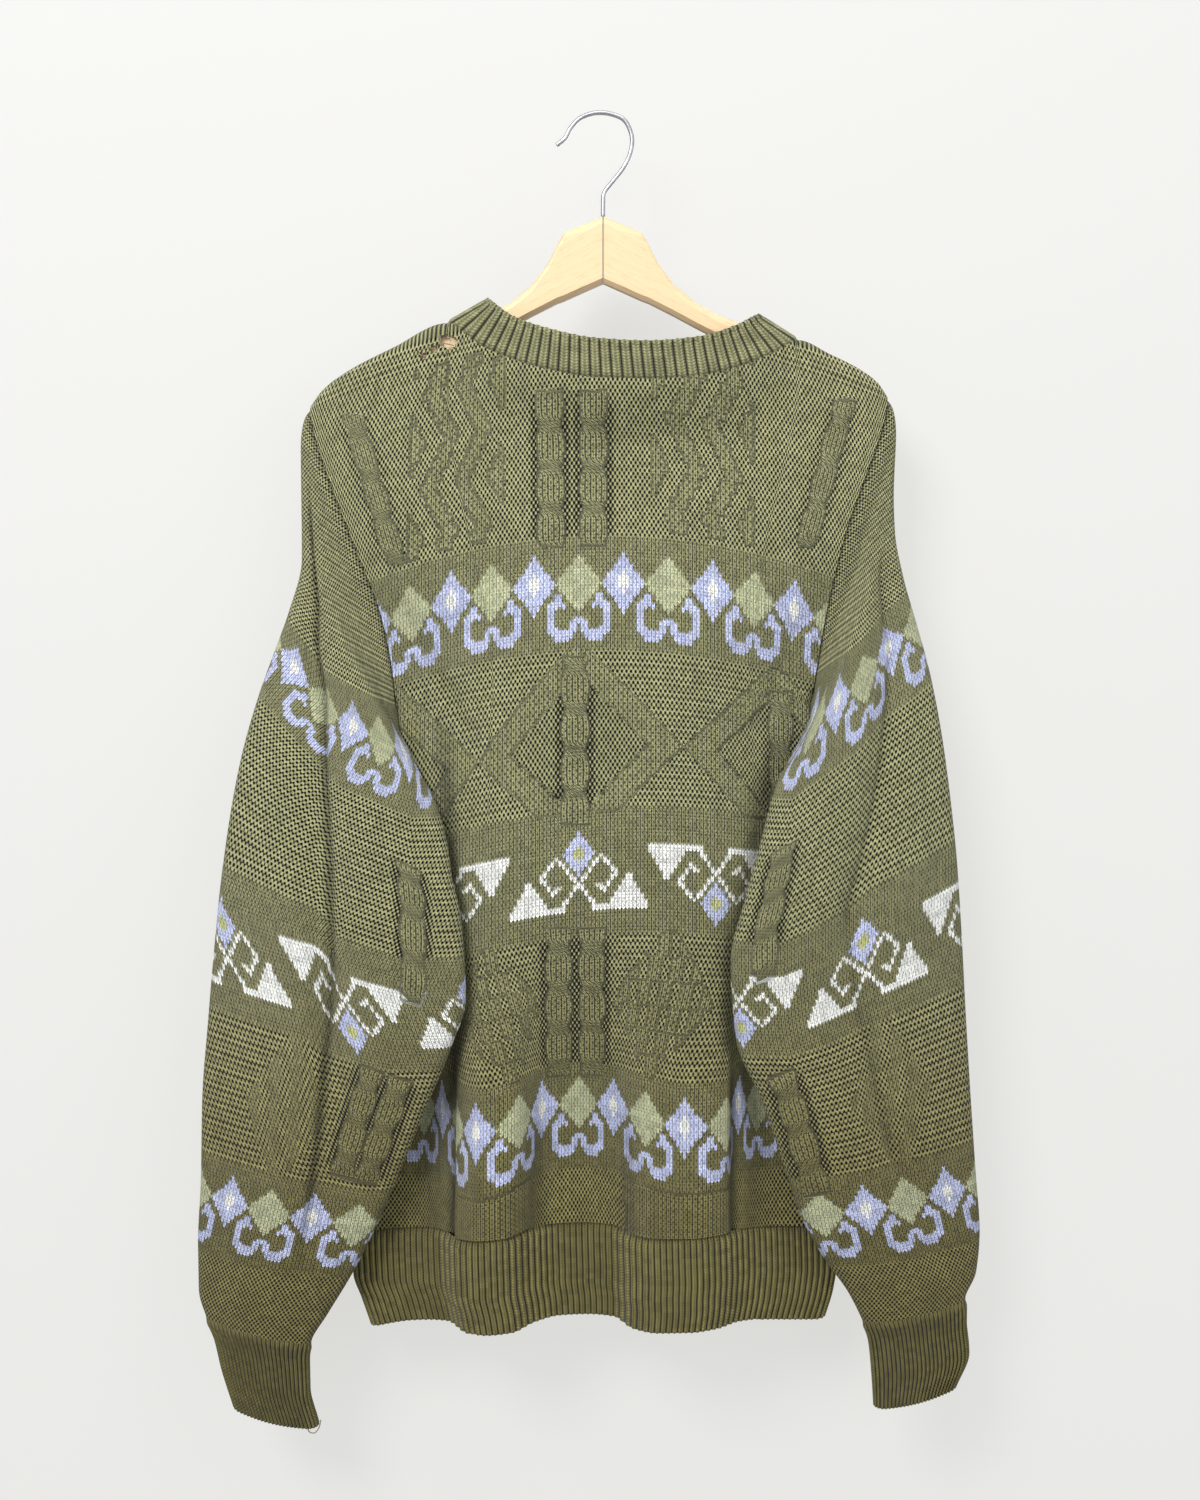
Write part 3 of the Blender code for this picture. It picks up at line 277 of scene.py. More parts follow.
# how far down the panels' sides the armholes reach, and how far the ribs reach past the seam
UNDERARM, HEM = 0.36, 1.115
# height and x of the two side edges, then x and height of the seam over the rib
LEFT_EDGE = (
    (-203, -205), (-220, -202), (-238, -197), (-255, -191), (-272, -185), (-290, -178),
    (-314, -169), (-347, -157), (-388, -149), (-419, -146), (-477, -148), (-545, -155),
    (-623, -164), (-702, -172), (-814, -181), (-842, -180), (-860, -174), (-884, -166))
RIGHT_EDGE = (
    (-196, 209), (-213, 206), (-230, 201), (-247, 195), (-266, 188), (-286, 181), (-308, 175),
    (-347, 167), (-388, 161), (-412, 158), (-461, 159), (-530, 163), (-611, 169), (-691, 174),
    (-806, 177), (-835, 178), (-852, 176), (-877, 169))
RIB_SEAM = ((-213, -812), (-160, -804), (-90, -802), (0, -801), (90, -801), (216, -804))
# height, and how far the back and the front stand out from the hanger's plane
DEPTH = np.array((
    (-140, 10.3, 10.3), (-205, 10.8, 10.8), (-260, 14, 12), (-350, 21, 15), (-450, 28, 19),
    (-550, 33, 22), (-650, 31, 22), (-760, 26, 20), (-900, 24, 18),
), float)
# x, and the depth of the folds at the rib at the back and at the front
HEM_FOLDS = np.array((
    (-181, 8, 8), (-160, 10, 14), (-135, 11, 22), (-117, 15, 25), (-100, 38, 19), (-85, 44, 13),
    (-66, 40, 14), (-50, 22, 21), (-30, 10, 28), (-8, 8, 30), (12, 12, 24), (27, 34, 16),
    (45, 42, 12), (70, 41, 13), (90, 34, 19), (108, 20, 24), (130, 13, 23), (152, 11, 18),
    (178, 8, 8),
), float)
FOLD_TOP, FOLD_FULL = -560, -790
# upper and lower end of each cable, its width, how far down it first crosses, its strength
BODY_CABLES = (
    (-33, -195, -32, -304, 20, 23, PLAIN_CABLE), (-2, -195, -2, -304, 20, 23, PLAIN_CABLE),
    (-15, -382, -15, -502, 20, 8, PLAIN_CABLE), (134, -408, 134, -502, 18, 12, FAINT_CABLE),
    (-27, -577, -27, -688, 19, 14, PLAIN_CABLE), (-3, -577, -3, -688, 19, 14, PLAIN_CABLE),
    (-174, -210, -143, -316, 16, 14, FAINT_CABLE), (178, -200, 150, -304, 16, 14, FAINT_CABLE))
# creases that the hanging leaves, and painted shadows where the sleeves overlap the body and in the
# hem's recesses: upper and lower end, depth, half width, and painted shadow
BODY_CREASES = (
    (-106, -655, -107, -812, 4.5, 3.2, 0.60), (101, -660, 102, -806, 3.5, 3.4, 0.50),
    (-40, -700, -44, -812, 1.4, 6.5, 0.34), (20, -700, 23, -806, 1.4, 6.5, 0.32),
    (-150, -330, -95, -430, 1.8, 7.0, 0.10), (160, -330, 118, -430, 1.8, 7.0, 0.10),
    (-148, -420, -120, -600, 2.0, 8.0, 0.10), (158, -420, 138, -610, 2.0, 8.0, 0.10),
    (-120, -610, -122, -830, 0.0, 11.0, 0.30), (116, -620, 117, -830, 0.0, 10.0, 0.32),
    (-112, -420, -100, -600, 0.5, 6.5, 0.55), (-95, -590, -106, -705, 0.5, 7.0, 0.60),
    (132, -430, 102, -585, 0.5, 6.5, 0.50), (97, -570, 97, -660, 0.5, 6.5, 0.58),
    (97, -640, 118, -725, 0.5, 7.0, 0.50))
# how far down the body, in rows from the first band's top: millimetres down, rows
BODY_ROWS = np.array((
    (140, -81), (310.6, 0), (371.5, 29), (505.6, 93), (571.3, 124), (690.7, 181), (753.2, 211),
    (900, 281),
), float)
# the rows droop to both sides of a middle, which lies further right lower down
BODY_MIDDLE, DROOP_MIDDLE, DROOP_SHIFT, DROOP = -12.5, 8.0, 26, 0.0011
# the folds at the third band: place from the middle, the stitch there, and how far it sags
HEM_GATHERS = np.array((
    (-175, -97, 4), (-114, -72, 4), (-100, -60, 4), (-94, -52, 10), (-74, -36, 15), (-43, -24, 8),
    (-27, -12, 3), (0, 0, -1), (25, 12, 2), (48, 24, 5), (76, 36, 11), (107, 48, 11), (117, 60, -1),
    (130, 72, 0), (190, 96, 0),
), float)
# first and last row of the coloured bands, and of the textured zones between them
BANDS, BAND_STEP = ((-6, 31), (86, 127), (176, 213)), 181
ZIGZAG_ROWS, LOZENGE_ROWS, BLOCK_ROWS, COLUMN_ROW = (-72, -9), (31, 87), (127, 176), 213
# rows past every band, which the ribs and the neckband count from
RIB_ROWS, HEM_RIB_ROW, CUFF_RIB_ROW, NECK_RIB_ROW = 236, 240, 260, 300


def curve(where, values, at):
    """Smooth curve through the values that never overshoots them."""
    where, values, at = (np.asarray(a, float) for a in (where, values, at))
    steps = np.diff(where)
    slopes = np.diff(values) / steps
    before, after = slopes[:-1], slopes[1:]
    turn = before * after
    inner = np.where(turn > 0, 2 * turn / np.where(turn > 0, before + after, 1), 0)
    bend = np.concatenate([slopes[:1], inner, slopes[-1:]])
    i = np.clip(np.searchsorted(where, at, side="right") - 1, 0, len(steps) - 1)
    t, h = np.clip((at - where[i]) / steps[i], 0, 1), steps[i]
    return ((2 * t**3 - 3 * t**2 + 1) * values[i] + (t**3 - 2 * t**2 + t) * h * bend[i]
            + (3 * t**2 - 2 * t**3) * values[i + 1] + (t**3 - t**2) * h * bend[i + 1])


def edge_curve(edge, z):
    """Where a side edge lies at a height."""
    rows = sorted(edge)
    return curve([row[0] for row in rows], [row[1] for row in rows], z)


def smooth(low, high, value):
    """A soft step from 0 at low to 1 at high."""
    t = np.clip((np.asarray(value, float) - low) / (high - low), 0, 1)
    return t * t * (3 - 2 * t)


def round_over(along, radius, share):
    """A way along cloth that turns over a rounded edge: how far in it gets, and its rise."""
    angle = np.minimum(along / radius, math.pi / 2)
    past = np.maximum(along - radius * math.pi / 2, 0)
    return (along * (1 - share) + (radius * (1 - np.cos(angle)) + past) * share,
            1 - share + share * np.sin(angle))


def round_over_length(radius, share):
    """How much longer such a way is than its inset."""
    return (math.pi / 2 - 1) * radius * share


def from_sides(x, z):
    """How far a place lies inside the nearer side edge."""
    return np.minimum(x - edge_curve(LEFT_EDGE, z), edge_curve(RIGHT_EDGE, z) - x)


def hang(face, x, z):
    """How far a panel stands out at a place away from its edges."""
    of = 1 if face == BACK else 2
    depth = curve(-DEPTH[:, 0], DEPTH[:, of], -z)
    share = 1 - smooth(-240, -400, z) * 0.68 * (1 - smooth(0, 105, from_sides(x, z)))
    left, right = edge_curve(LEFT_EDGE, z), edge_curve(RIGHT_EDGE, z)
    place = HEM_FOLDS[0, 0] + (x - left) / (right - left) * (HEM_FOLDS[-1, 0] - HEM_FOLDS[0, 0])
    full = smooth(FOLD_TOP, FOLD_FULL, z)
    return depth * share * (1 - full) + curve(HEM_FOLDS[:, 0], HEM_FOLDS[:, of], place) * full


def pushed(x, z):
    """How far the sleeves push the body's sides back towards the wall."""
    low = smooth(-300, -400, z) * (1 - smooth(FOLD_TOP, FOLD_FULL, z))
    return 7.0 * low * (1 - smooth(0, 85, from_sides(x, z)))


def panel(face, across, down):
    """Outer surface of a body panel: down is 0 at the shoulders, 1 at the rib."""
    across, down = np.broadcast_arrays(np.asarray(across, float), np.asarray(down, float))
    of = 1 if face == BACK else 2
    top_x = TOP_EDGE[0, 0] + (TOP_EDGE[-1, 0] - TOP_EDGE[0, 0]) * across
    top_z = curve(TOP_EDGE[:, 0], TOP_EDGE[:, of], top_x)
    top_depth = curve(TOP_EDGE[:, 0], TOP_EDGE[:, of + 2], top_x)
    seam = curve([row[0] for row in RIB_SEAM], [row[1] for row in RIB_SEAM], top_x)
    ends = TOP_EDGE[0, 1] + (TOP_EDGE[-1, 1] - TOP_EDGE[0, 1]) * across
    walk = down * (ends - seam) + (top_z - ends) * (1 - np.maximum(1 - down, 0) ** 3)
    neck = np.clip(top_depth / 9.0, 0, 1)
    walk = walk * (1 + round_over_length(SHOULDER_ROUND, 1 - neck) / (top_z - seam))
    inset, rise = round_over(walk, SHOULDER_ROUND, 1 - neck)
    z = top_z - inset
    left, right = edge_curve(LEFT_EDGE, z), edge_curve(RIGHT_EDGE, z)
    near_left = across < 0.5
    above = np.clip((z - np.where(near_left, LEFT_UNDERARM, RIGHT_UNDERARM)) / UNDERARM_ROUND, 0, 1)
    sewn = 1 - np.sqrt(1 - (1 - above) ** 2)
    width = right - left + 2 * round_over_length(SIDE_ROUND, sewn)
    inset, side_rise = round_over(np.where(near_left, across, 1 - across) * width, SIDE_ROUND, sewn)
    x = np.where(near_left, left + inset, right - inset)
    reach = smooth(0, NECK_REACH, walk)
    depth = hang(face, x, z)
    depth = (depth * (1 - neck * (1 - reach)) + top_depth * (1 - reach) * neck) * rise * side_rise
    return np.stack([x, face * depth + pushed(x, z), z], axis=-1)


def on_panels(behind, across, down):
    """Places on the body: on the front panel where behind holds, else on the back one."""
    return np.where(behind[..., None], panel(FRONT, across, down), panel(BACK, across, down))


def grid_normals(points, outward, closed=False):
    """Unit normals of a grid of points, from the way its columns and rows run."""
    if closed:
        along = np.roll(points, -1, axis=1) - np.roll(points, 1, axis=1)
    else:
        along = np.gradient(points, axis=1)
    normal = np.cross(along, np.gradient(points, axis=0)) * outward
    return normal / np.maximum(np.linalg.norm(normal, axis=-1, keepdims=True), 1e-9)


def strands(offset, travel, width):
    """A cable of ribs whose halves cross at each turn, always the same way: its height,
    how far across it a point lies, from -1 to 1, and the stitch that shows there."""
    turns = travel / CABLE_TURN + 0.5
    crossed = turns - np.floor(turns)
    pinch = np.abs(np.cos(math.pi * turns))
    across = offset / (0.5 * width * (0.64 + 0.36 * pinch**0.6))
    slide = CABLE_RIBS * (np.floor(turns) + smooth(0.28, 0.72, crossed))
    over = np.exp(-((crossed - 0.5) / 0.16) ** 2)
    over = over * np.exp(-((across + 2.4 * (0.5 - crossed)) / 0.5) ** 2)
    high = CABLE_HEIGHT * (np.clip(1 - across**2, 0, 1) ** 0.6 + 0.35 * over)
    return high, across, CABLE_RIBS / 2 * across - slide


def openings(offset, across, width, reach):
    """Where the cloth shows between a cable's waist and its sides, and how open its
    stitches stand there and in the ladders along both sides."""
    gap = (np.abs(across) > 1) * (np.abs(offset) < width * 0.5)
    ladder = np.exp(-((np.abs(offset) - width * 0.58) / reach) ** 2)
    return gap, np.maximum(ladder, gap)


def walked_along(points):
    """How far along its row of points each point lies."""
    steps = np.linalg.norm(np.diff(points, axis=1), axis=-1)
    return np.concatenate([np.zeros((len(points), 1)), np.cumsum(steps, axis=1)], axis=1)


def body_stitches(points):
    """Stitch and row of every point: stitches from the middle, rows from the first band."""
    walked = walked_along(points)
    x, z = points[..., 0], points[..., 2]
    middle = np.array([np.interp(BODY_MIDDLE, places, line) for places, line in zip(x, walked)])
    middle_x = DROOP_MIDDLE + DROOP_SHIFT * smooth(-390, -500, z)
    droop = DROOP * (x - middle_x) ** 2 * (1 - smooth(-600, -690, z))
    gathered, place = smooth(-580, -705, z), x - BODY_MIDDLE
    sag = curve(HEM_GATHERS[:, 0], HEM_GATHERS[:, 2], place)
    droop = droop + sag * gathered * (1 - smooth(-775, -812, z))
    stitch = (walked - middle[:, None]) / STITCH
    stitch = stitch + (curve(HEM_GATHERS[:, 0], HEM_GATHERS[:, 1], place) - stitch) * gathered
    return stitch, np.interp(-(z + droop), BODY_ROWS[:, 0], BODY_ROWS[:, 1])


def textured(row):
    """Where purl stitches show: everywhere but in the coloured bands."""
    bands = 0.0
    for first, last in BANDS:
        band = smooth(first - 1.5, first, row) * (1 - smooth(last, last + 1.5, row))
        bands = np.maximum(bands, band)
    return 1 - bands


def body_work(face, points, stitch, row):
    """Relief in millimetres, the shares of purl, shade and openness, and the stitches."""
    x, z = points[..., 0], points[..., 2]
    purl = textured(row)
    height, shade, airy = (np.zeros(x.shape) for _ in range(3))
    for top_x, top_z, low_x, low_z, width, first, strength in BODY_CABLES:
        if face == FRONT and strength < PLAIN_CABLE:
            continue
        share = (z - top_z) / (low_z - top_z)
        offset = x - (top_x + (low_x - top_x) * share)
        ends = smooth(-0.05, 0.14, share) * smooth(-0.05, 0.14, 1 - share)
        high, across, shown = strands(offset, top_z - z - first, width)
        height = np.maximum(height, ends * high * (0.5 + 0.5 * strength))
        near = (np.abs(across) < 1) * (share > 0) * (share < 1)
        stitch = np.where(near, round(top_x / STITCH) + shown, stitch)
        purl = np.where(near, 0, purl)
        gap, open_work = openings(offset, across, width, 2.6)
        airy = np.maximum(airy, strength * ends * open_work)
        # painted light on the raised cables, and painted shade in the gaps beside their waists
        cable_highlight = 0.34 * near * ends * (0.4 + 0.6 * strength)
        shade = np.maximum(shade, 0.08 * ends * gap * strength) - cable_highlight
    # painted shadow along the creases, beside the sleeves and in the recesses
    for top_x, top_z, low_x, low_z, depth, width, crease_shadow in BODY_CREASES if face == BACK else ():
        share = (z - top_z) / (low_z - top_z)
        groove = np.exp(-((x - (top_x + (low_x - top_x) * share)) / width) ** 2)
        groove = groove * smooth(-0.05, 0.35, share) * smooth(-0.05, 0.10, 1.1 - share)
        height, shade = height - groove * depth, np.maximum(shade, crease_shadow * groove)
    # zigzags beside the upper cables
    side = np.abs(stitch + 0.5)
    stair = np.abs((row + 81) // 4 % 8 - 4) * 1.6
    zigzag = ((side - 20 + stair) % 10 < 4.6) * (side > 20) * (side < 48)
    zigzag = zigzag * (row < ZIGZAG_ROWS[1]) * (row > ZIGZAG_ROWS[0])
    # lozenges of purl with a knitted rim and a line of eyelets, 56 stitches apart
    lozenge = np.abs((stitch + 28) % 56 - 28) / 18.6 + np.abs(row - 64) / 24
    middle = (row > LOZENGE_ROWS[0]) * (row < LOZENGE_ROWS[1])
    rim = middle * (lozenge > 1) * (lozenge < 1.5)
    eyelets = middle * np.exp(-((lozenge - 1) / 0.045) ** 2)
    eyelets = eyelets * (row > 64) * (np.cos(row * math.pi / 2) > 0.3)
    # staggered columns in a frame beside the lower cables, and knitted strips over the rib
    low = (row > BLOCK_ROWS[0]) * (row < BLOCK_ROWS[1])
    framed = np.abs(side - 25) / 15 + np.abs(row - 151) / 27 < 1
    blocks = framed * ((side + row // 8 * 2) % 6 < 3.4)
    columns = (row > COLUMN_ROW) * ((x > -108) * (x < -46) + (x > 20) * (x < 99))
    shape = np.clip(0.75 * zigzag + 0.8 * rim + 0.8 * blocks + columns, 0, 1)
    stitch = np.where((shape > 0) & (purl > 0), stitch * 0.8, stitch)
    sunk = middle * (lozenge < 1)
    height = height + (0.20 * shape - 0.2 * sunk) * (purl > 0)
    purl = purl * (1 - shape)
    # painted shade in the eyelets, painted dark in place of holes, and in the sunk middles of the
    # lozenges
    shade = np.where(eyelets > 0.3, 0.5, shade + 0.10 * sunk)
    garter = 0.4 * middle * (lozenge >= 1.5) + 0.4 * (row < ZIGZAG_ROWS[0])
    garter = garter + 0.5 * low * ~framed * (side > 11)
    airy = 0.5 + 0.5 * np.maximum(airy, 0) - 0.5 * garter * (airy < 0.1)
    return height * smooth(2, 12, from_sides(x, z)), purl, shade, airy, stitch


def cloth(name, points, stitch, row, purl, shade, closed=False, airy=0.5, torn=None):
    """Lays a grid of points as one knitted piece, with its stitch map and its shading.
    Airy is 1 where the stitches stand open, 0.5 where they are even, 0 in garter ridges."""
    rows, columns = points.shape[:2]
    wide = columns if closed else columns - 1
    i, j = np.meshgrid(np.arange(rows - 1), np.arange(wide), indexing="ij")
    after = (j + 1) % columns
    here, below = i * columns, (i + 1) * columns
    corners = np.stack([here + j, here + after, below + after, below + j], axis=-1).reshape(-1, 4)
    mapped = np.stack([stitch, row], axis=-1)
    uv = np.stack([mapped[i, j], mapped[i, j + 1], mapped[i + 1, j + 1], mapped[i + 1, j]], axis=-2)
    uv = uv.reshape(-1, 4, 2)
    if torn is not None:
        kept = ~torn[:-1, :wide].ravel()
        corners, uv = corners[kept], uv[kept]
    mesh = bpy.data.meshes.new(name)
    mesh.vertices.add(rows * columns)
    mesh.vertices.foreach_set("co", (points * MM).astype(np.float32).ravel())
    mesh.loops.add(len(corners) * 4)
    mesh.loops.foreach_set("vertex_index", corners.astype(np.int32).ravel())
    mesh.polygons.add(len(corners))
    mesh.polygons.foreach_set("loop_start", np.arange(0, len(corners) * 4, 4, dtype=np.int32))
    mesh.update(calc_edges=True)
    mesh.uv_layers.new(name="stitches").data.foreach_set("uv", uv.astype(np.float32).ravel())
    work = np.stack([purl, shade, airy + 0 * purl, np.ones(purl.shape)], axis=-1)
    mesh.color_attributes.new("work", "FLOAT_COLOR", "POINT").data.foreach_set(
        "color", work.astype(np.float32).ravel())
    mesh.validate()
    mesh.shade_smooth()
    mesh.materials.append(wool)
    made = bpy.data.objects.new(name + "_knit", mesh)
    link(made)
    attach(made, "root")
    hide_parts(name)
    return made


OLIVE, PALE_OLIVE = (0.224, 0.221, 0.108, 1), (0.282, 0.275, 0.140, 1)
# darker, browner olive: painted shade towards the bottom, where the light falls off
LOW_SHADE_OLIVE = (0.178, 0.155, 0.050, 1)
LAVENDER, SAGE = (0.56, 0.60, 0.82, 1), (0.51, 0.53, 0.32, 1)
CREAM, MOSS = (0.93, 0.93, 0.87, 1), (0.55, 0.57, 0.25, 1)


def horns_chart(pot, column, row):
    """Diamonds and ram's horns, 24 stitches to a repeat, in the first and third band."""
    p = pot.maths("PINGPONG", abs(column), 12.0)
    low = row - (row > BLOCK_ROWS[0]) * BAND_STEP
    green = p / 6.6 + abs(low - 9) / 9.9 < 1
    lilac = (12 - p) / 5.8 + abs(low - 9) / 10.1 < 1
    heart = (12 - p) / 2.2 + abs(low - 8.5) / 3.9 < 1
    across, down = (p - 4.3) / 3.4, (low - 20.5) / 6.2
    ring = abs(pot.maths("SQRT", across * across + down * down) - 1) < 0.31
    horn = ring * (1 - (p < 4.6) * (low < 20.6)) + (abs(p - 4) < 0.7) * (abs(low - 16.3) < 1.2)
    return green, lilac + horn > 0.5, heart


# slanting strokes of the frets: whether each falls, where it lies, its middle and half length
FRETS = ((True, 17.3, 7.3, 9.7), (False, 17.3, 24.6, 7.8), (False, -2.1, 24.2, 6.3),
         (True, 30.3, 3.6, 5.9), (False, 9.2, 28.0, 2.4))


def frets_chart(pot, column, row):
    """Frets, triangles and small diamonds in the second band, every other one upside down."""
    p = pot.maths("PINGPONG", abs(column), 37.0)
    turned, low = p > 18.5, row - 93
    p, low = p + turned * (37 - p * 2), low + turned * (31 - low * 2)
    small = p / 4.6 + abs(low - 7) / 7.5 < 1
    seed = p / 1.6 + abs(low - 7) / 2.9 < 1
    rising, falling = low + p * 1.6, low - p * 1.6
    white = (abs(p - 13.3) < (low - 13.4) * 0.455) * (low < 27)
    white = white + (abs(low - 25.6) < 0.8) * (abs(p - 6.5) < 2.6)
    for falls, at, middle, half in FRETS:
        over, along = (rising, falling) if falls else (falling, rising)
        white = white + (abs(over - at) < 0.95) * (abs(along - middle) < half)
    inside = abs(low - 15) < 17
    return small * inside, seed * inside, (white > 0.5) * inside


def knit():
    """Wool yarn: knit V's or purl bumps by the stitch map, dyed by two charts of motifs, with
    painted shade in the yarn's gaps, from the cloth's shade values and towards the bottom.
    """
    made, shader, pot = finish("wool_knit", Roughness=0.92, Sheen_Weight=0.10, Sheen_Roughness=0.6,
                               Specular_IOR_Level=0.1)
    place = pot.node("ShaderNodeUVMap", {"uv_map": "stitches"}, {})
    u, v = pot.split(place, "X"), pot.split(place, "Y")
    work = pot.node("ShaderNodeAttribute", {"attribute_name": "work"}, {}, "Color")
    purl, shade, airy = (pot.node("ShaderNodeSeparateColor", {}, {0: work}, i) for i in range(3))
    airy = airy * 2 - 1
    where = pot.node("ShaderNodeTexCoord", {}, {}, "Object")
    # painted shade: the wool turns darker and browner towards the bottom, where the light falls off
    falloff_shade = pot.ramp(pot.split(where, "Z"), -0.48, -0.88)
    column = pot.maths("FLOOR", u + 0.5)
    leg = abs(u - column)
    lift = v + leg * 1.7
    q = pot.maths("FLOOR", lift)
    green, lilac, heart = horns_chart(pot, column, q)
    small, seed, white = frets_chart(pot, column, q)
    fibre = pot.noise(2.6, 5.0, Vector=place, Roughness=0.7)
    patch = pot.noise(0.07, 3.0, Vector=place)
    cell = pot.node("ShaderNodeCombineXYZ", {}, {0: pot.maths("FLOOR", u / 1.6),
                                                 1: pot.maths("FLOOR", v / 1.9)})
    each = pot.node("ShaderNodeTexWhiteNoise", {"noise_dimensions": "2D"}, {"Vector": cell},
                    "Value")
    tone = pot.blend(pot.blend(OLIVE, PALE_OLIVE, fibre), LOW_SHADE_OLIVE, falloff_shade)
    for mask, dye in ((green, SAGE), (lilac, LAVENDER), (heart, CREAM), (small, LAVENDER),
                      (seed, MOSS), (white, CREAM)):
        tone = pot.blend(tone, dye, mask)
    dyed = green + lilac + small + white > 0.5
    # knit: two legs to a column, with painted shade between columns; purl: bumps in a chequer of
    # holes painted dark as shade
    legs = 0.5 - 0.5 * pot.maths("COSINE", leg * (4 * math.pi))
    legs = legs + (0.45 - 0.9 * leg) * (1 - legs)
    plain = legs * (0.6 + 0.4 * (0.5 + 0.5 * pot.maths("COSINE", (lift - q - 0.5) * (2 * math.pi))))
    chequer = (pot.maths("COSINE", u * (2 * math.pi / LATTICE))
               * pot.maths("COSINE", v * (math.pi / LATTICE)))
    slit = pot.maths("MAXIMUM", pot.ramp(chequer, -1.0, -0.25), v > RIB_ROWS)
    plain = plain * (slit * 0.9 + 0.1)
    ridge = pot.maths("COSINE", v * math.pi) * pot.maths("MAXIMUM", airy * -0.5, 0.0)
    bead = pot.ramp(chequer + ridge - pot.maths("MAXIMUM", airy, 0.0) * 0.5, -0.68, 0.30)
    height = plain + (bead - plain) * purl
    lit_plain, lit_bead = plain * (1.90 - dyed * 0.66) + (dyed * 0.36 + 0.06), bead * 1.38
    lit = lit_plain + (lit_bead - lit_plain) * purl
    lit = lit * (0.84 + fibre * 0.32) * (each * 0.34 + 0.83) * (1 - shade) * (patch * 0.30 + 0.85)
    lit = pot.maths("MINIMUM", lit, 1.7)
    grey = pot.node("ShaderNodeCombineColor", {}, {0: lit, 1: lit, 2: lit})
    tone = pot.blend(tone, grey, 1.0, "MULTIPLY")
    tone.into(shader, "Base Color")
    bump = pot.node("ShaderNodeBump", {},
                    {"Strength": 0.85, "Distance": 0.0016, "Height": height + fibre * 0.25})
    bump.into(shader, "Normal")
    return made


wool = knit()


# a small tear beside the neck, with its ladder: x, height, half width and half height
TEAR = ((-106, -157, 7.0, 5.2), (-117, -163, 3.0, 2.6), (-124, -168, 2.8, 2.4))


def body_panel(name, face, columns, rows):
    """One panel's knitting, laid on the same surface as its solid."""
    across = np.linspace(0, 1, columns)[None, :]
    down = np.linspace(0, 1, rows)[:, None]
    points = panel(face, across, down)
    stitch, row = body_stitches(points)
    relief, purl, shade, airy, stitch = body_work(face, points, stitch, row)
    torn = np.zeros(points.shape[:2], bool)
    for x, z, wide, high in TEAR if face == BACK else ():
        torn |= np.hypot((points[..., 0] - x) / wide, (points[..., 2] - z) / high) < 1
    points = points + grid_normals(points, face) * relief[..., None]
    return cloth(name, points, stitch, row, purl, shade, airy=airy, torn=torn)


back = body_panel("back", BACK, 262, 360)
front = body_panel("front", FRONT, 170, 190)

# threads left across the tear: the two ends' x and height, and how far each bows
yarn, yarn_shader, yarn_pot = finish("loose_yarn", Roughness=0.9)
ply = yarn_pot.noise(900.0, 3.0)
yarn_pot.blend((0.13, 0.12, 0.06, 1), (0.33, 0.31, 0.18, 1), ply).into(yarn_shader, "Base Color")
fluff = yarn_pot.node("ShaderNodeBump", {}, {"Strength": 0.6, "Distance": 0.0006, "Height": ply})
fluff.into(yarn_shader, "Normal")
THREADS = (
    (-112.2, -160.4, -101.5, -161.4, -0.9), (-111.3, -153.6, -110.2, -161.6, 0.6),
    (-119.8, -162, -114.2, -163.4, 0.8), (-126.5, -167.2, -121.4, -168.6, 0.6))
THREAD_RADIUS = 0.42
around = panel(BACK, np.linspace(0.1, 0.4, 160)[None, :], np.linspace(0, 0.12, 80)[:, None])
around = around.reshape(-1, 3)
threads = []
for x1, z1, x2, z2, bow in THREADS:
    t = np.linspace(0, 1, 12)
    x, z = x1 + (x2 - x1) * t, z1 + (z2 - z1) * t - bow * np.sin(math.pi * t)
    y = [around[np.argmin(np.hypot(around[:, 0] - a, around[:, 2] - b)), 1] for a, b in zip(x, z)]
    route = np.stack([x, np.array(y) - 0.2, z], axis=-1)
    threads.append(strand(f"tear_thread_{len(threads) + 1}", route, THREAD_RADIUS, yarn))


# ---- Hem rib ----
# Knit-one purl-one rib, picked up along the panels' lower edges, that draws the hem in
# and follows its folds. Its cast-on edge turns in by the thickness of the cloth.
HEM_RIBS, RIB_HEIGHT, RIB_SHADE = 84, 1.5, 0.50
PANEL_LENGTH, TURNED_ROWS = 608, 6


def turned_in(points, normals, over):
    """Six rows added past a free edge: round it, and up the inside of the cloth."""
    edge, inward = points[-1], -normals[-1]
    beyond = edge - points[-3]
    beyond = beyond / np.maximum(np.linalg.norm(beyond, axis=-1, keepdims=True), 1e-6)
    rows = [edge + inward * 0.5 + beyond * 0.5, edge + inward * 1.4 + beyond * 0.5,
            edge + inward * WALL]
    rows += [points[-1 - back] - normals[-1 - back] * WALL for back in over]
    return np.concatenate([points, np.array(rows)])


def ribbing(name, points, normals, over, stitch, row, shade, closed=False):
    """Lays a rib as cloth, its free edge turned in with the values that the edge has."""
    stitch, row, shade = (
        np.concatenate([values, np.repeat(values[-1:], TURNED_ROWS, axis=0)])
        for values in (stitch, row, shade))
    return cloth(name, turned_in(points, normals, over), stitch, row, 0 * shade, shade, closed)


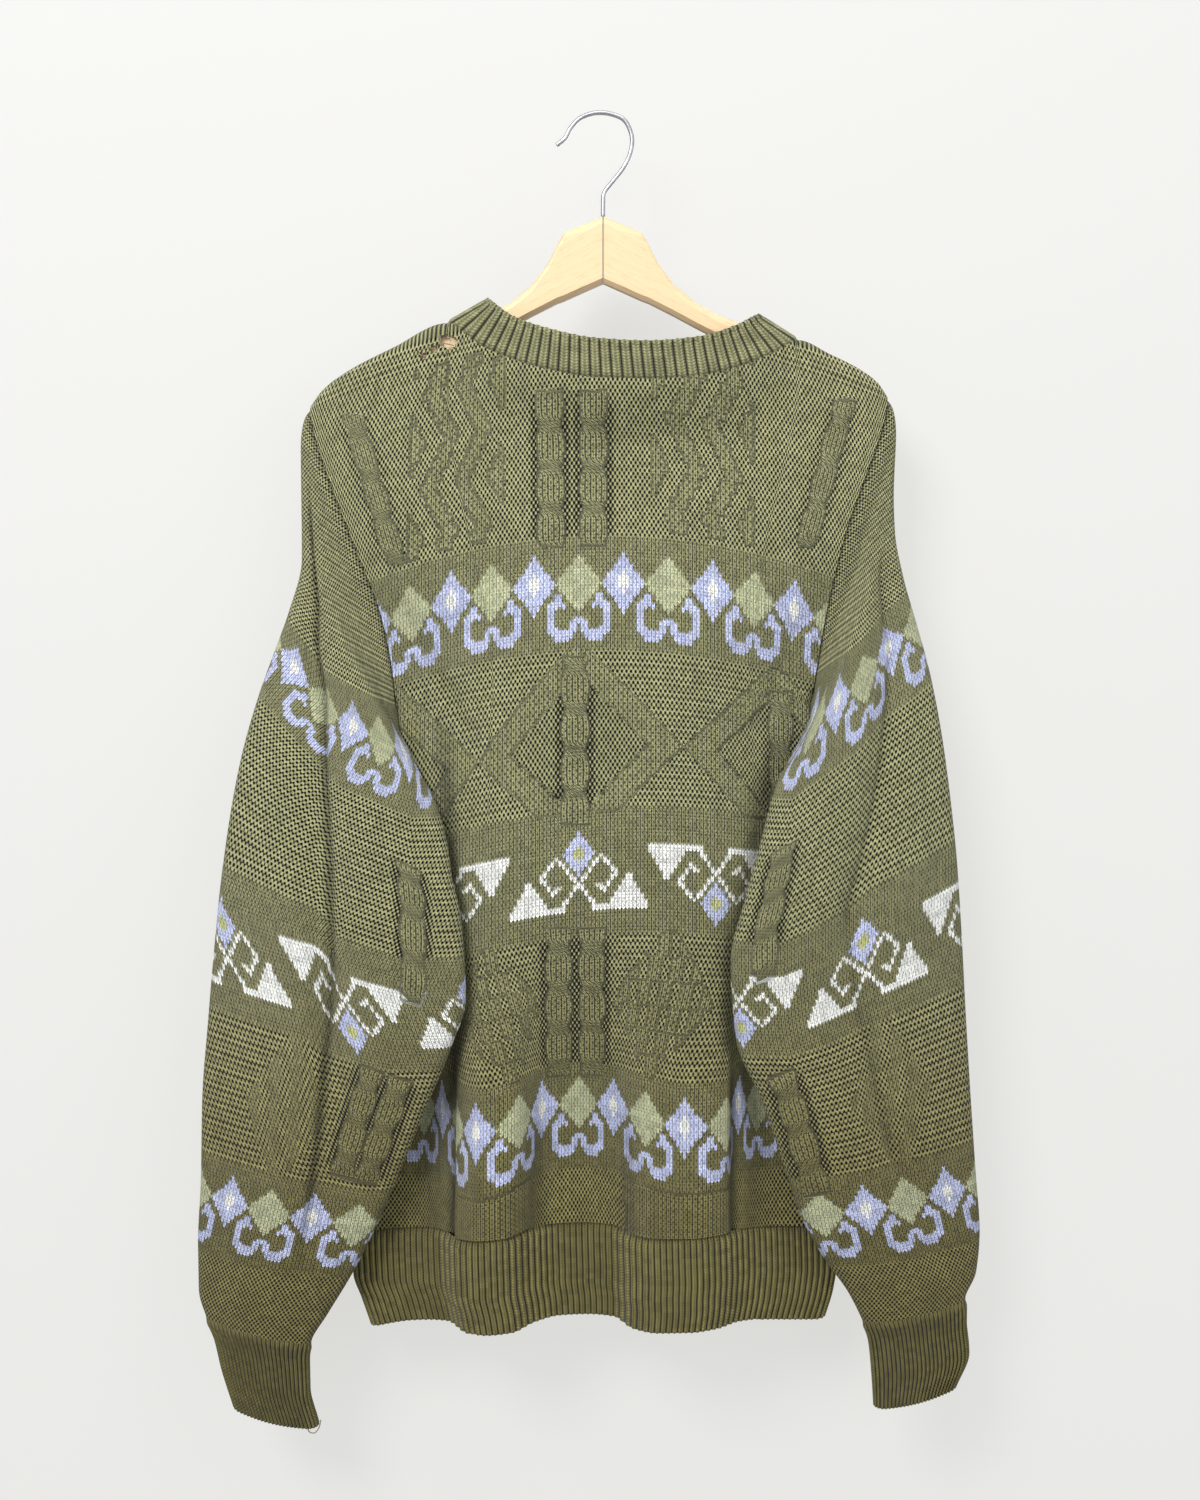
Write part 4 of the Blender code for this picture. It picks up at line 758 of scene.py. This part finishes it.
def hem_rib(name, face):
    """One rib along a panel's lower edge, with the seam sunk over it."""
    across = np.linspace(0, 1, HEM_RIBS * 6 + 1)[None, :]
    down = np.linspace(1.0, HEM, 42)[:, None]
    points = panel(face, across, down)
    normals = grid_normals(points, face)
    rib = 0.5 - 0.5 * np.cos(2 * math.pi * across * HEM_RIBS)
    start, seam = smooth(1.0, 1.012, down), np.exp(-((down - 1.0) / 0.006) ** 2)
    points = points + normals * ((rib * RIB_HEIGHT * start - 1.3 * seam)[..., None])
    row = HEM_RIB_ROW + (down - 1.0) * PANEL_LENGTH / ROW + 0 * across
    stitch = across * HEM_RIBS - 0.5 + 0 * down
    # painted shade in the rib's valleys and in the seam's groove
    shade = (1 - rib) * RIB_SHADE * start + 0.5 * seam
    return ribbing(name, points, normals, (2, 5, 8), stitch, row, shade)


hem_back = hem_rib("hem_rib_back", BACK)
hem_front = hem_rib("hem_rib_front", FRONT)


# ---- Sleeves ----
# Long dropped sleeves, each a flat tube sewn round the armhole, that hang in front of
# the body's sides and lie in soft lengthwise creases.
# Each section: x and height of its outer and inner fold, and where a valley runs along it
# and how deep. Then how far back both folds lie, and how far it stands out fore and aft.
SECTIONS = {
    "left": (
        (-213, -240, -145, -425, 0.10, 0), (-213, -281, -144, -435, 0.10, 0),
        (-213, -313, -136, -450, 0.13, 3), (-222, -349, -126, -468, 0.22, 5),
        (-230, -372, -114, -491, 0.28, 6), (-244, -410, -107, -514, 0.34, 7),
        (-257, -455, -103, -540, 0.40, 7), (-266, -500, -96, -572, 0.43, 7),
        (-274, -555, -93, -624, 0.47, 6), (-279, -600, -105, -665, 0.52, 6),
        (-284, -650, -122, -706, 0.60, 6), (-289, -705, -138, -745, 0.66, 5),
        (-291, -765, -158, -792, 0.70, 4), (-294, -815, -177, -830, 0.70, 2),
        (-294, -848, -196, -862, 0.70, 0), (-289, -868, -209, -884, 0.70, 0),
        (-282, -885, -212, -899, 0.70, 0), (-276, -910, -212, -922, 0.70, 0),
        (-268, -937, -206, -949, 0.70, 0)),
    "right": (
        (216, -230, 157, -418, 0.10, 0), (215, -264, 156, -429, 0.10, 0),
        (216, -293, 149, -442, 0.13, 3), (222, -325, 140, -456, 0.17, 5),
        (231, -357, 131, -471, 0.20, 6), (241, -393, 124, -491, 0.28, 7),
        (250, -438, 116, -521, 0.36, 7), (257, -486, 106, -556, 0.42, 7),
        (262, -530, 96, -600, 0.48, 6), (266, -580, 100, -655, 0.53, 6),
        (270, -640, 119, -701, 0.52, 6), (274, -695, 133, -742, 0.50, 5),
        (279, -757, 149, -789, 0.40, 5), (283, -806, 166, -820, 0.32, 4),
        (281, -835, 184, -846, 0.30, 0), (273, -856, 195, -868, 0.30, 0),
        (273, -873, 201, -883, 0.30, 0), (275, -896, 204, -908, 0.30, 0),
        (266, -921, 206, -934, 0.30, 0)),
}
SECTION_DEPTHS = (
    (0, 4, 9, 9), (0, -2, 11, 10), (-2, -12, 14, 12), (-4, -18, 16, 13), (-6, -22, 18, 14),
    (-8, -27, 19, 15), (-10, -31, 20, 15), (-11, -35, 21, 15), (-12, -38, 22, 15),
    (-12, -37, 22, 15), (-12, -36, 22, 15), (-12, -34, 22, 15), (-12, -32, 21, 15),
    (-12, -29, 20, 15), (-12, -26, 18, 14), (-13, -24, 15, 12), (-13, -23, 13, 11),
    (-14, -22, 13, 11), (-14, -21, 14, 12))
# the section numbers at the cuff's seam and edge
CUFF_SEAM, CUFF_EDGE = 16.0, 19.0
FOLD_ROUND, ASLANT_FOLD = 7.0, 6.0
SLEEVE_CLEARANCE, LESSER_ROUND, LEAD_OUT = 3.0, 3.0, 0.5
# each cable's share of the way over the sleeve, its first and last section, and its width
SLEEVE_CABLES = {
    "left": ((0.80, 7.2, 9.4, 20), (0.74, 10.6, 12.4, 18), (0.86, 10.6, 12.4, 18)),
    "right": ((0.86, 7.2, 9.4, 20), (0.88, 10.7, 12.6, 20)),
}
SECTION_STEP, SLEEVE_BLOCK, SLEEVE_FALL_ENDS = 48.0, 0.42, (-90, 55)
# where each sleeve's long crease runs, section by section, its depth and its shadow
SLEEVE_TUCKS = {
    "left": (((0.8, 0.10), (3, 0.14), (5, 0.30), (7, 0.42), (9, 0.47), (12, 0.60), (14.5, 0.68)),
             3.5, 0.50),
    "right": (((2.5, 0.16), (5, 0.20), (7, 0.36), (9, 0.50), (12, 0.48), (14.0, 0.34)), 2.0, 0.25),
}
# for rows counted as on the body: row, height and x where it crosses the sleeve's middle, its
# fall towards the body, how much steeper it is outside the crease, the drop over the crease,
# where that lies, and the stitch in the middle
SLEEVE_ROWS = {
    "left": ((-170, -107, -190, 0.75, 0.5, 0, -9, 12), (-70, -285, -190, 0.75, 0.5, 0, -9, 12),
             (9, -426, -184, 0.50, 0.85, 0, -9, 12), (95, -592, -190, 0.27, 0, 15, 0, 37),
             (181, -768, -220, 0.16, 0, 0, 0, 4), (210, -819, -228, 0.12, 0, 0, 0, 4),
             (260, -900, -235, 0.12, 0, 0, 0, 4)),
    "right": ((-170, -73, 200, 0.9, 0, 0, 0, -6), (-70, -250, 200, 0.9, 0, 0, 0, -6),
              (9, -390, 197, 0.85, 0, 6, 0, -6), (95, -576, 186, 0.45, 0, 6, 0, -4),
              (181, -761, 205, 0.14, 0, 0, 0, -4), (210, -812, 218, 0.12, 0, 0, 0, -4),
              (260, -893, 225, 0.12, 0, 0, 0, -4)),
}


def section(side, at):
    """The ten values of a sleeve's section, between the table's rows too."""
    table = np.hstack([SECTIONS[side], SECTION_DEPTHS])
    where = np.arange(1, len(table) + 1)
    return [curve(where, table[:, i], at) for i in range(10)]


def body_limit(side, x, z):
    """The foremost place for a sleeve's far wall, so that it lies in front of the body."""
    edge = edge_curve(LEFT_EDGE, z) if side == "left" else edge_curve(RIGHT_EDGE, z)
    inside = -(x - edge) * SIDES[side] + SLEEVE_CLEARANCE
    reach = np.clip(inside / (SIDE_ROUND + SLEEVE_CLEARANCE), 0, 1)
    body = hang(BACK, x, z) * np.sqrt(1 - (1 - reach) ** 2) - pushed(x, z)
    return np.maximum(-inside, 0) * 1.2 - body - SLEEVE_CLEARANCE


def ring_share(width, turn, fold):
    """How far across the flat tube a turn lies, and how much of its depth it has there."""
    walk = np.abs(turn - 0.5) * 2
    near_outer = walk > 0.5
    along = np.where(near_outer, 1 - walk, walk) * (width + 2 * round_over_length(fold, 1))
    inset, rise = round_over(along, fold, 1)
    return np.where(near_outer, inset / width, 1 - inset / width), rise


def fold_round(at):
    """How round a sleeve's folds are: more where the sleeve starts aslant."""
    return FOLD_ROUND + ASLANT_FOLD * (1 - smooth(2, 6, at))


def tube_ring(side, turn, at):
    """Outer surface of a sleeve below its first section."""
    ox, oz, ix, iz, valley_at, valley, oy, iy, fore, aft = section(side, at)
    width = np.hypot(ix - ox, iz - oz)
    share, rise = ring_share(width, turn, fold_round(at))
    full = np.sin(math.pi * np.clip(share, 0, 1))
    crease = valley * np.exp(-((share - valley_at) / 0.10) ** 2)
    fore = FOLD_ROUND * rise + (fore - FOLD_ROUND) * full - crease
    aft = FOLD_ROUND * rise + (aft - FOLD_ROUND) * full
    x, z = ox + (ix - ox) * share, oz + (iz - oz) * share
    limit = body_limit(side, x, z) - aft + 40 * (1 - smooth(1.0, 3.0, at))
    first = oy + (iy - oy) * share
    gap = limit - first
    middle = first + 0.5 * (gap - np.sqrt(gap * gap + LESSER_ROUND**2))
    return np.stack([x, middle + np.where(turn > 0.5, aft, -fore), z], axis=-1)


def armhole(side, turn):
    """The armhole's seam on the panels, at a sleeve's turn."""
    behind = turn > 0.5
    down = UNDERARM * np.where(behind, 2 - 2 * turn, 2 * turn)
    return on_panels(behind, np.full(turn.shape, 0.0 if side == "left" else 1.0), down)


def sleeve(side, turn, at):
    """Outer surface of a sleeve. At is 0 on the armhole seam, then the section's number."""
    turn, at = np.broadcast_arrays(np.asarray(turn, float) % 1.0, np.asarray(at, float))
    tube = tube_ring(side, turn, np.maximum(at, 1.0))
    first = tube_ring(side, turn, np.full(at.shape, 1.0))
    pace = tube_ring(side, turn, np.full(at.shape, 1.5)) - first
    seam = armhole(side, turn)
    span = np.linalg.norm(first - seam, axis=-1, keepdims=True)
    lead = (first - seam) / span + np.array([LEAD_OUT * SIDES[side], 0.0, 0.0])
    lead = lead / np.linalg.norm(lead, axis=-1, keepdims=True)
    t = np.clip(at, 0, 1)[..., None]
    joined = ((2 * t**3 - 3 * t**2 + 1) * seam + (t**3 - 2 * t**2 + t) * span * lead
              + (3 * t**2 - 2 * t**3) * first + (t**3 - t**2) * 2 * pace)
    return np.where(at[..., None] < 1, joined, tube)


def sleeve_stitches(side, points, turns):
    """Stitches round the sleeve from its middle, and rows that fall towards the body."""
    walked = walked_along(points)
    middle = np.array([np.interp(0.25, turns, line) for line in walked])
    table = np.array(SLEEVE_ROWS[side], float)
    x, z = points[..., 0], points[..., 2]
    row = np.interp(-z, -table[:, 1], table[:, 0])
    for _ in range(8):
        mid, fall, steeper, drop, crease = (
            np.interp(row, table[:, 0], table[:, i]) for i in range(2, 7))
        inward = np.clip(-(x - mid) * SIDES[side], *SLEEVE_FALL_ENDS)
        level = z + fall * inward + steeper * np.minimum(inward - crease, 0)
        level = level + drop * (smooth(-11, 11, inward - crease) - 0.5)
        row = 0.5 * row + 0.5 * np.interp(-level, -table[:, 1], table[:, 0])
    home = np.interp(row, table[:, 0], table[:, 7])
    return (walked - middle[:, None]) / STITCH * -SIDES[side] + home, row


def sleeve_tube(side):
    """One sleeve's knitting, finest on the side that shows."""
    turns = np.concatenate([np.linspace(-0.5, 0, 60, endpoint=False), np.linspace(0, 0.5, 131)])
    at = np.concatenate([np.linspace(0, 1, 26, endpoint=False), np.linspace(1, CUFF_SEAM, 270)])
    at = at[:, None]
    points = sleeve(side, turns[None, :], at)
    stitch, row = sleeve_stitches(side, points, turns)
    ring, rows = points[:, :-1], row[:, :-1]
    normals = grid_normals(ring, SIDES[side], closed=True)
    ox, oz, ix, iz = section(side, np.maximum(at, 1.0))[:4]
    wide = np.hypot(ix - ox, iz - oz)
    share = ring_share(wide, turns[None, :-1] % 1.0, fold_round(at))[0]
    seen = turns[None, :-1] > 0
    purl = textured(rows)
    height, shade, airy = (np.zeros(purl.shape) for _ in range(3))
    for place, start, end, width in SLEEVE_CABLES[side]:
        ends = smooth(start, start + 0.15, at) * smooth(end, end - 0.15, at) * seen
        offset = (share - place) * wide
        high, across, shown = strands(offset, (at - start) * SECTION_STEP - 14, width)
        height = np.maximum(height, ends * high)
        near = (np.abs(across) < 1) * (at > start) * (at < end) * seen
        stitch[:, :-1] = np.where(near, shown, stitch[:, :-1])
        purl = np.where(near, 0, purl)
        gap, open_work = openings(offset, across, width, 2.8)
        airy = np.maximum(airy, PLAIN_CABLE * ends * open_work)
        # painted light on the raised cables, and painted shade in the gaps beside their waists
        shade = np.maximum(shade, 0.08 * ends * gap) - 0.30 * near * ends
    tuck, deep, crease_shadow = SLEEVE_TUCKS[side]
    fold = np.exp(-((share - np.interp(at, *zip(*tuck))) * wide / 3.2) ** 2) * seen
    first, last = tuck[0][0], tuck[-1][0]
    fold = fold * smooth(first, first + 1.2, at) * smooth(last, last - 2.0, at)
    height, shade = height - fold * deep, np.maximum(shade, crease_shadow * fold)
    # painted shade in the groove of the armhole seam
    seam = np.exp(-(at / 0.15) ** 2)
    height, shade = height - 1.5 * seam, np.maximum(shade, 0.55 * seam)
    # staggered columns in a frame, with ridges round it and on the upper arm
    low = (rows > BLOCK_ROWS[0]) * (rows < BLOCK_ROWS[1])
    framed = np.abs(share - SLEEVE_BLOCK) * wide / 31 + np.abs(rows - 152) / 30 < 1
    blocks = 0.8 * framed * ((stitch[:, :-1] + rows // 8 * 2) % 6 < 3.4) * (purl > 0)
    purl, height = purl * (1 - blocks), height + 0.20 * blocks
    # painted shade: the sleeves darker towards the cuffs
    shade = shade + 0.09 * smooth(150, 215, rows)
    airy = 0.5 + 0.5 * airy - 0.4 * (airy < 0.1) * ((rows < 90) + low * ~framed)
    knitted = ring + normals * height[..., None]
    return cloth("sleeve_" + side, knitted, stitch, row, purl, shade, closed=True, airy=airy)


sleeves = [sleeve_tube(side) for side in SIDES]


# ---- Cuffs ----
# Knit-one purl-one rib, worked straight on from each sleeve and cast off at the wrist.
CUFF_RIBS, CUFF_SHADE = 52, 0.56


def cuff(side):
    """One cuff, round the end of its sleeve."""
    turns = np.linspace(0, 1, CUFF_RIBS * 6 + 1)[None, :]
    at = np.linspace(CUFF_SEAM, CUFF_EDGE, 48)[:, None]
    points = sleeve(side, turns, at)[:, :-1]
    normals = grid_normals(points, SIDES[side], closed=True)
    rib = 0.5 + 0.5 * np.cos(2 * math.pi * turns * CUFF_RIBS)
    start = smooth(CUFF_SEAM, CUFF_SEAM + 0.36, at)
    lift = (rib[:, :-1] * RIB_HEIGHT * start)[..., None]
    row, stitch = CUFF_RIB_ROW + (at - CUFF_SEAM) * 12 + 0 * turns, turns * CUFF_RIBS + 0 * at
    # painted shade: the whole cuff darker, and more in the rib's valleys
    shade = 0.15 + (1 - rib[:, :-1]) * CUFF_SHADE * start
    return ribbing("cuff_" + side, points + normals * lift, normals, (2, 5, 8),
                   stitch, row, shade, closed=True)


cuffs = [cuff(side) for side in SIDES]
# a loop of loose yarn at the left cuff's edge
LOOP = ((-203, -24, -944), (-204, -26, -949), (-207, -28, -952), (-211, -28, -951),
        (-211.5, -27, -947), (-208, -25, -945))
loop = strand("cuff_thread", run(LOOP, 30), THREAD_RADIUS, yarn)


# ---- Neckband ----
# A ribbed band picked up round the neck and bound off in a firm knobbly edge, which
# rolls a little to the inside. It stands up over the hanger's arms at both ends.
BAND_RIBS, BAND_SHADE = 66, 0.18
# share of the way from the left neck point to the right one, x, heights, depths
BAND_EDGE = np.array((
    (0.00, -77, -127, -127, 0, 0), (0.06, -72, -132, -134, 9, 9), (0.15, -58, -142, -156, 13, 12),
    (0.28, -33, -151, -175, 17, 15), (0.43, 0, -158, -187, 20, 17), (0.58, 36, -160, -190, 21, 17),
    (0.72, 70, -157, -182, 18, 15), (0.85, 97, -149, -165, 14, 12), (0.94, 110, -142, -144, 9, 9),
    (1.00, 116, -138, -138, 0, 0),
), float)


def neckband(turn, up):
    """Outer surface of the band: up is 0 on the seam and 1 on the free edge."""
    turn, up = np.broadcast_arrays(turn % 1.0, up)
    behind = turn > 0.5
    share = np.where(behind, 2 - 2 * turn, 2 * turn)
    x = NECK_LEFT + (NECK_RIGHT - NECK_LEFT) * share
    across = (x - TOP_EDGE[0, 0]) / (TOP_EDGE[-1, 0] - TOP_EDGE[0, 0])
    seam = on_panels(behind, across, np.zeros(share.shape))
    x, back_z, front_z, back_y, front_y = (
        curve(BAND_EDGE[:, 0], BAND_EDGE[:, i], share) for i in range(1, 6))
    y, z = np.where(behind, front_y, -back_y), np.where(behind, front_z, back_z)
    edge = np.stack([x, y, z], axis=-1)
    return seam + (edge - seam) * up[..., None]


def neck_rib():
    """The band's knitting: ribs, and a bead along the free edge."""
    turns = np.linspace(0, 1, BAND_RIBS * 6 + 1)[None, :]
    up = np.linspace(0, 1, 30)[:, None]
    points = neckband(turns, up)[:, :-1]
    normals = grid_normals(points, 1, closed=True)
    rib = 0.5 + 0.5 * np.cos(2 * math.pi * turns * BAND_RIBS)
    start, bead = smooth(0, 0.12, up), np.exp(-((up - 0.94) / 0.05) ** 2)
    lift = rib[:, :-1] * RIB_HEIGHT * start * (1 - bead)
    lift = lift + bead * (1.5 + 0.6 * np.cos(2 * math.pi * (turns[:, :-1] * BAND_RIBS + 0.3)))
    row, stitch = NECK_RIB_ROW - up * 13 + 0 * turns, turns * BAND_RIBS + 0 * up
    # painted shade: the whole band darker, more in the rib's valleys and most along the seam
    shade = 0.26 + (1 - rib[:, :-1]) * BAND_SHADE * start * (1 - bead)
    shade = shade + 0.35 * np.exp(-(up / 0.06) ** 2)
    return ribbing("neckband", points + normals * lift[..., None], normals, (2, 4, 7),
                   stitch, row, shade, closed=True)


band = neck_rib()
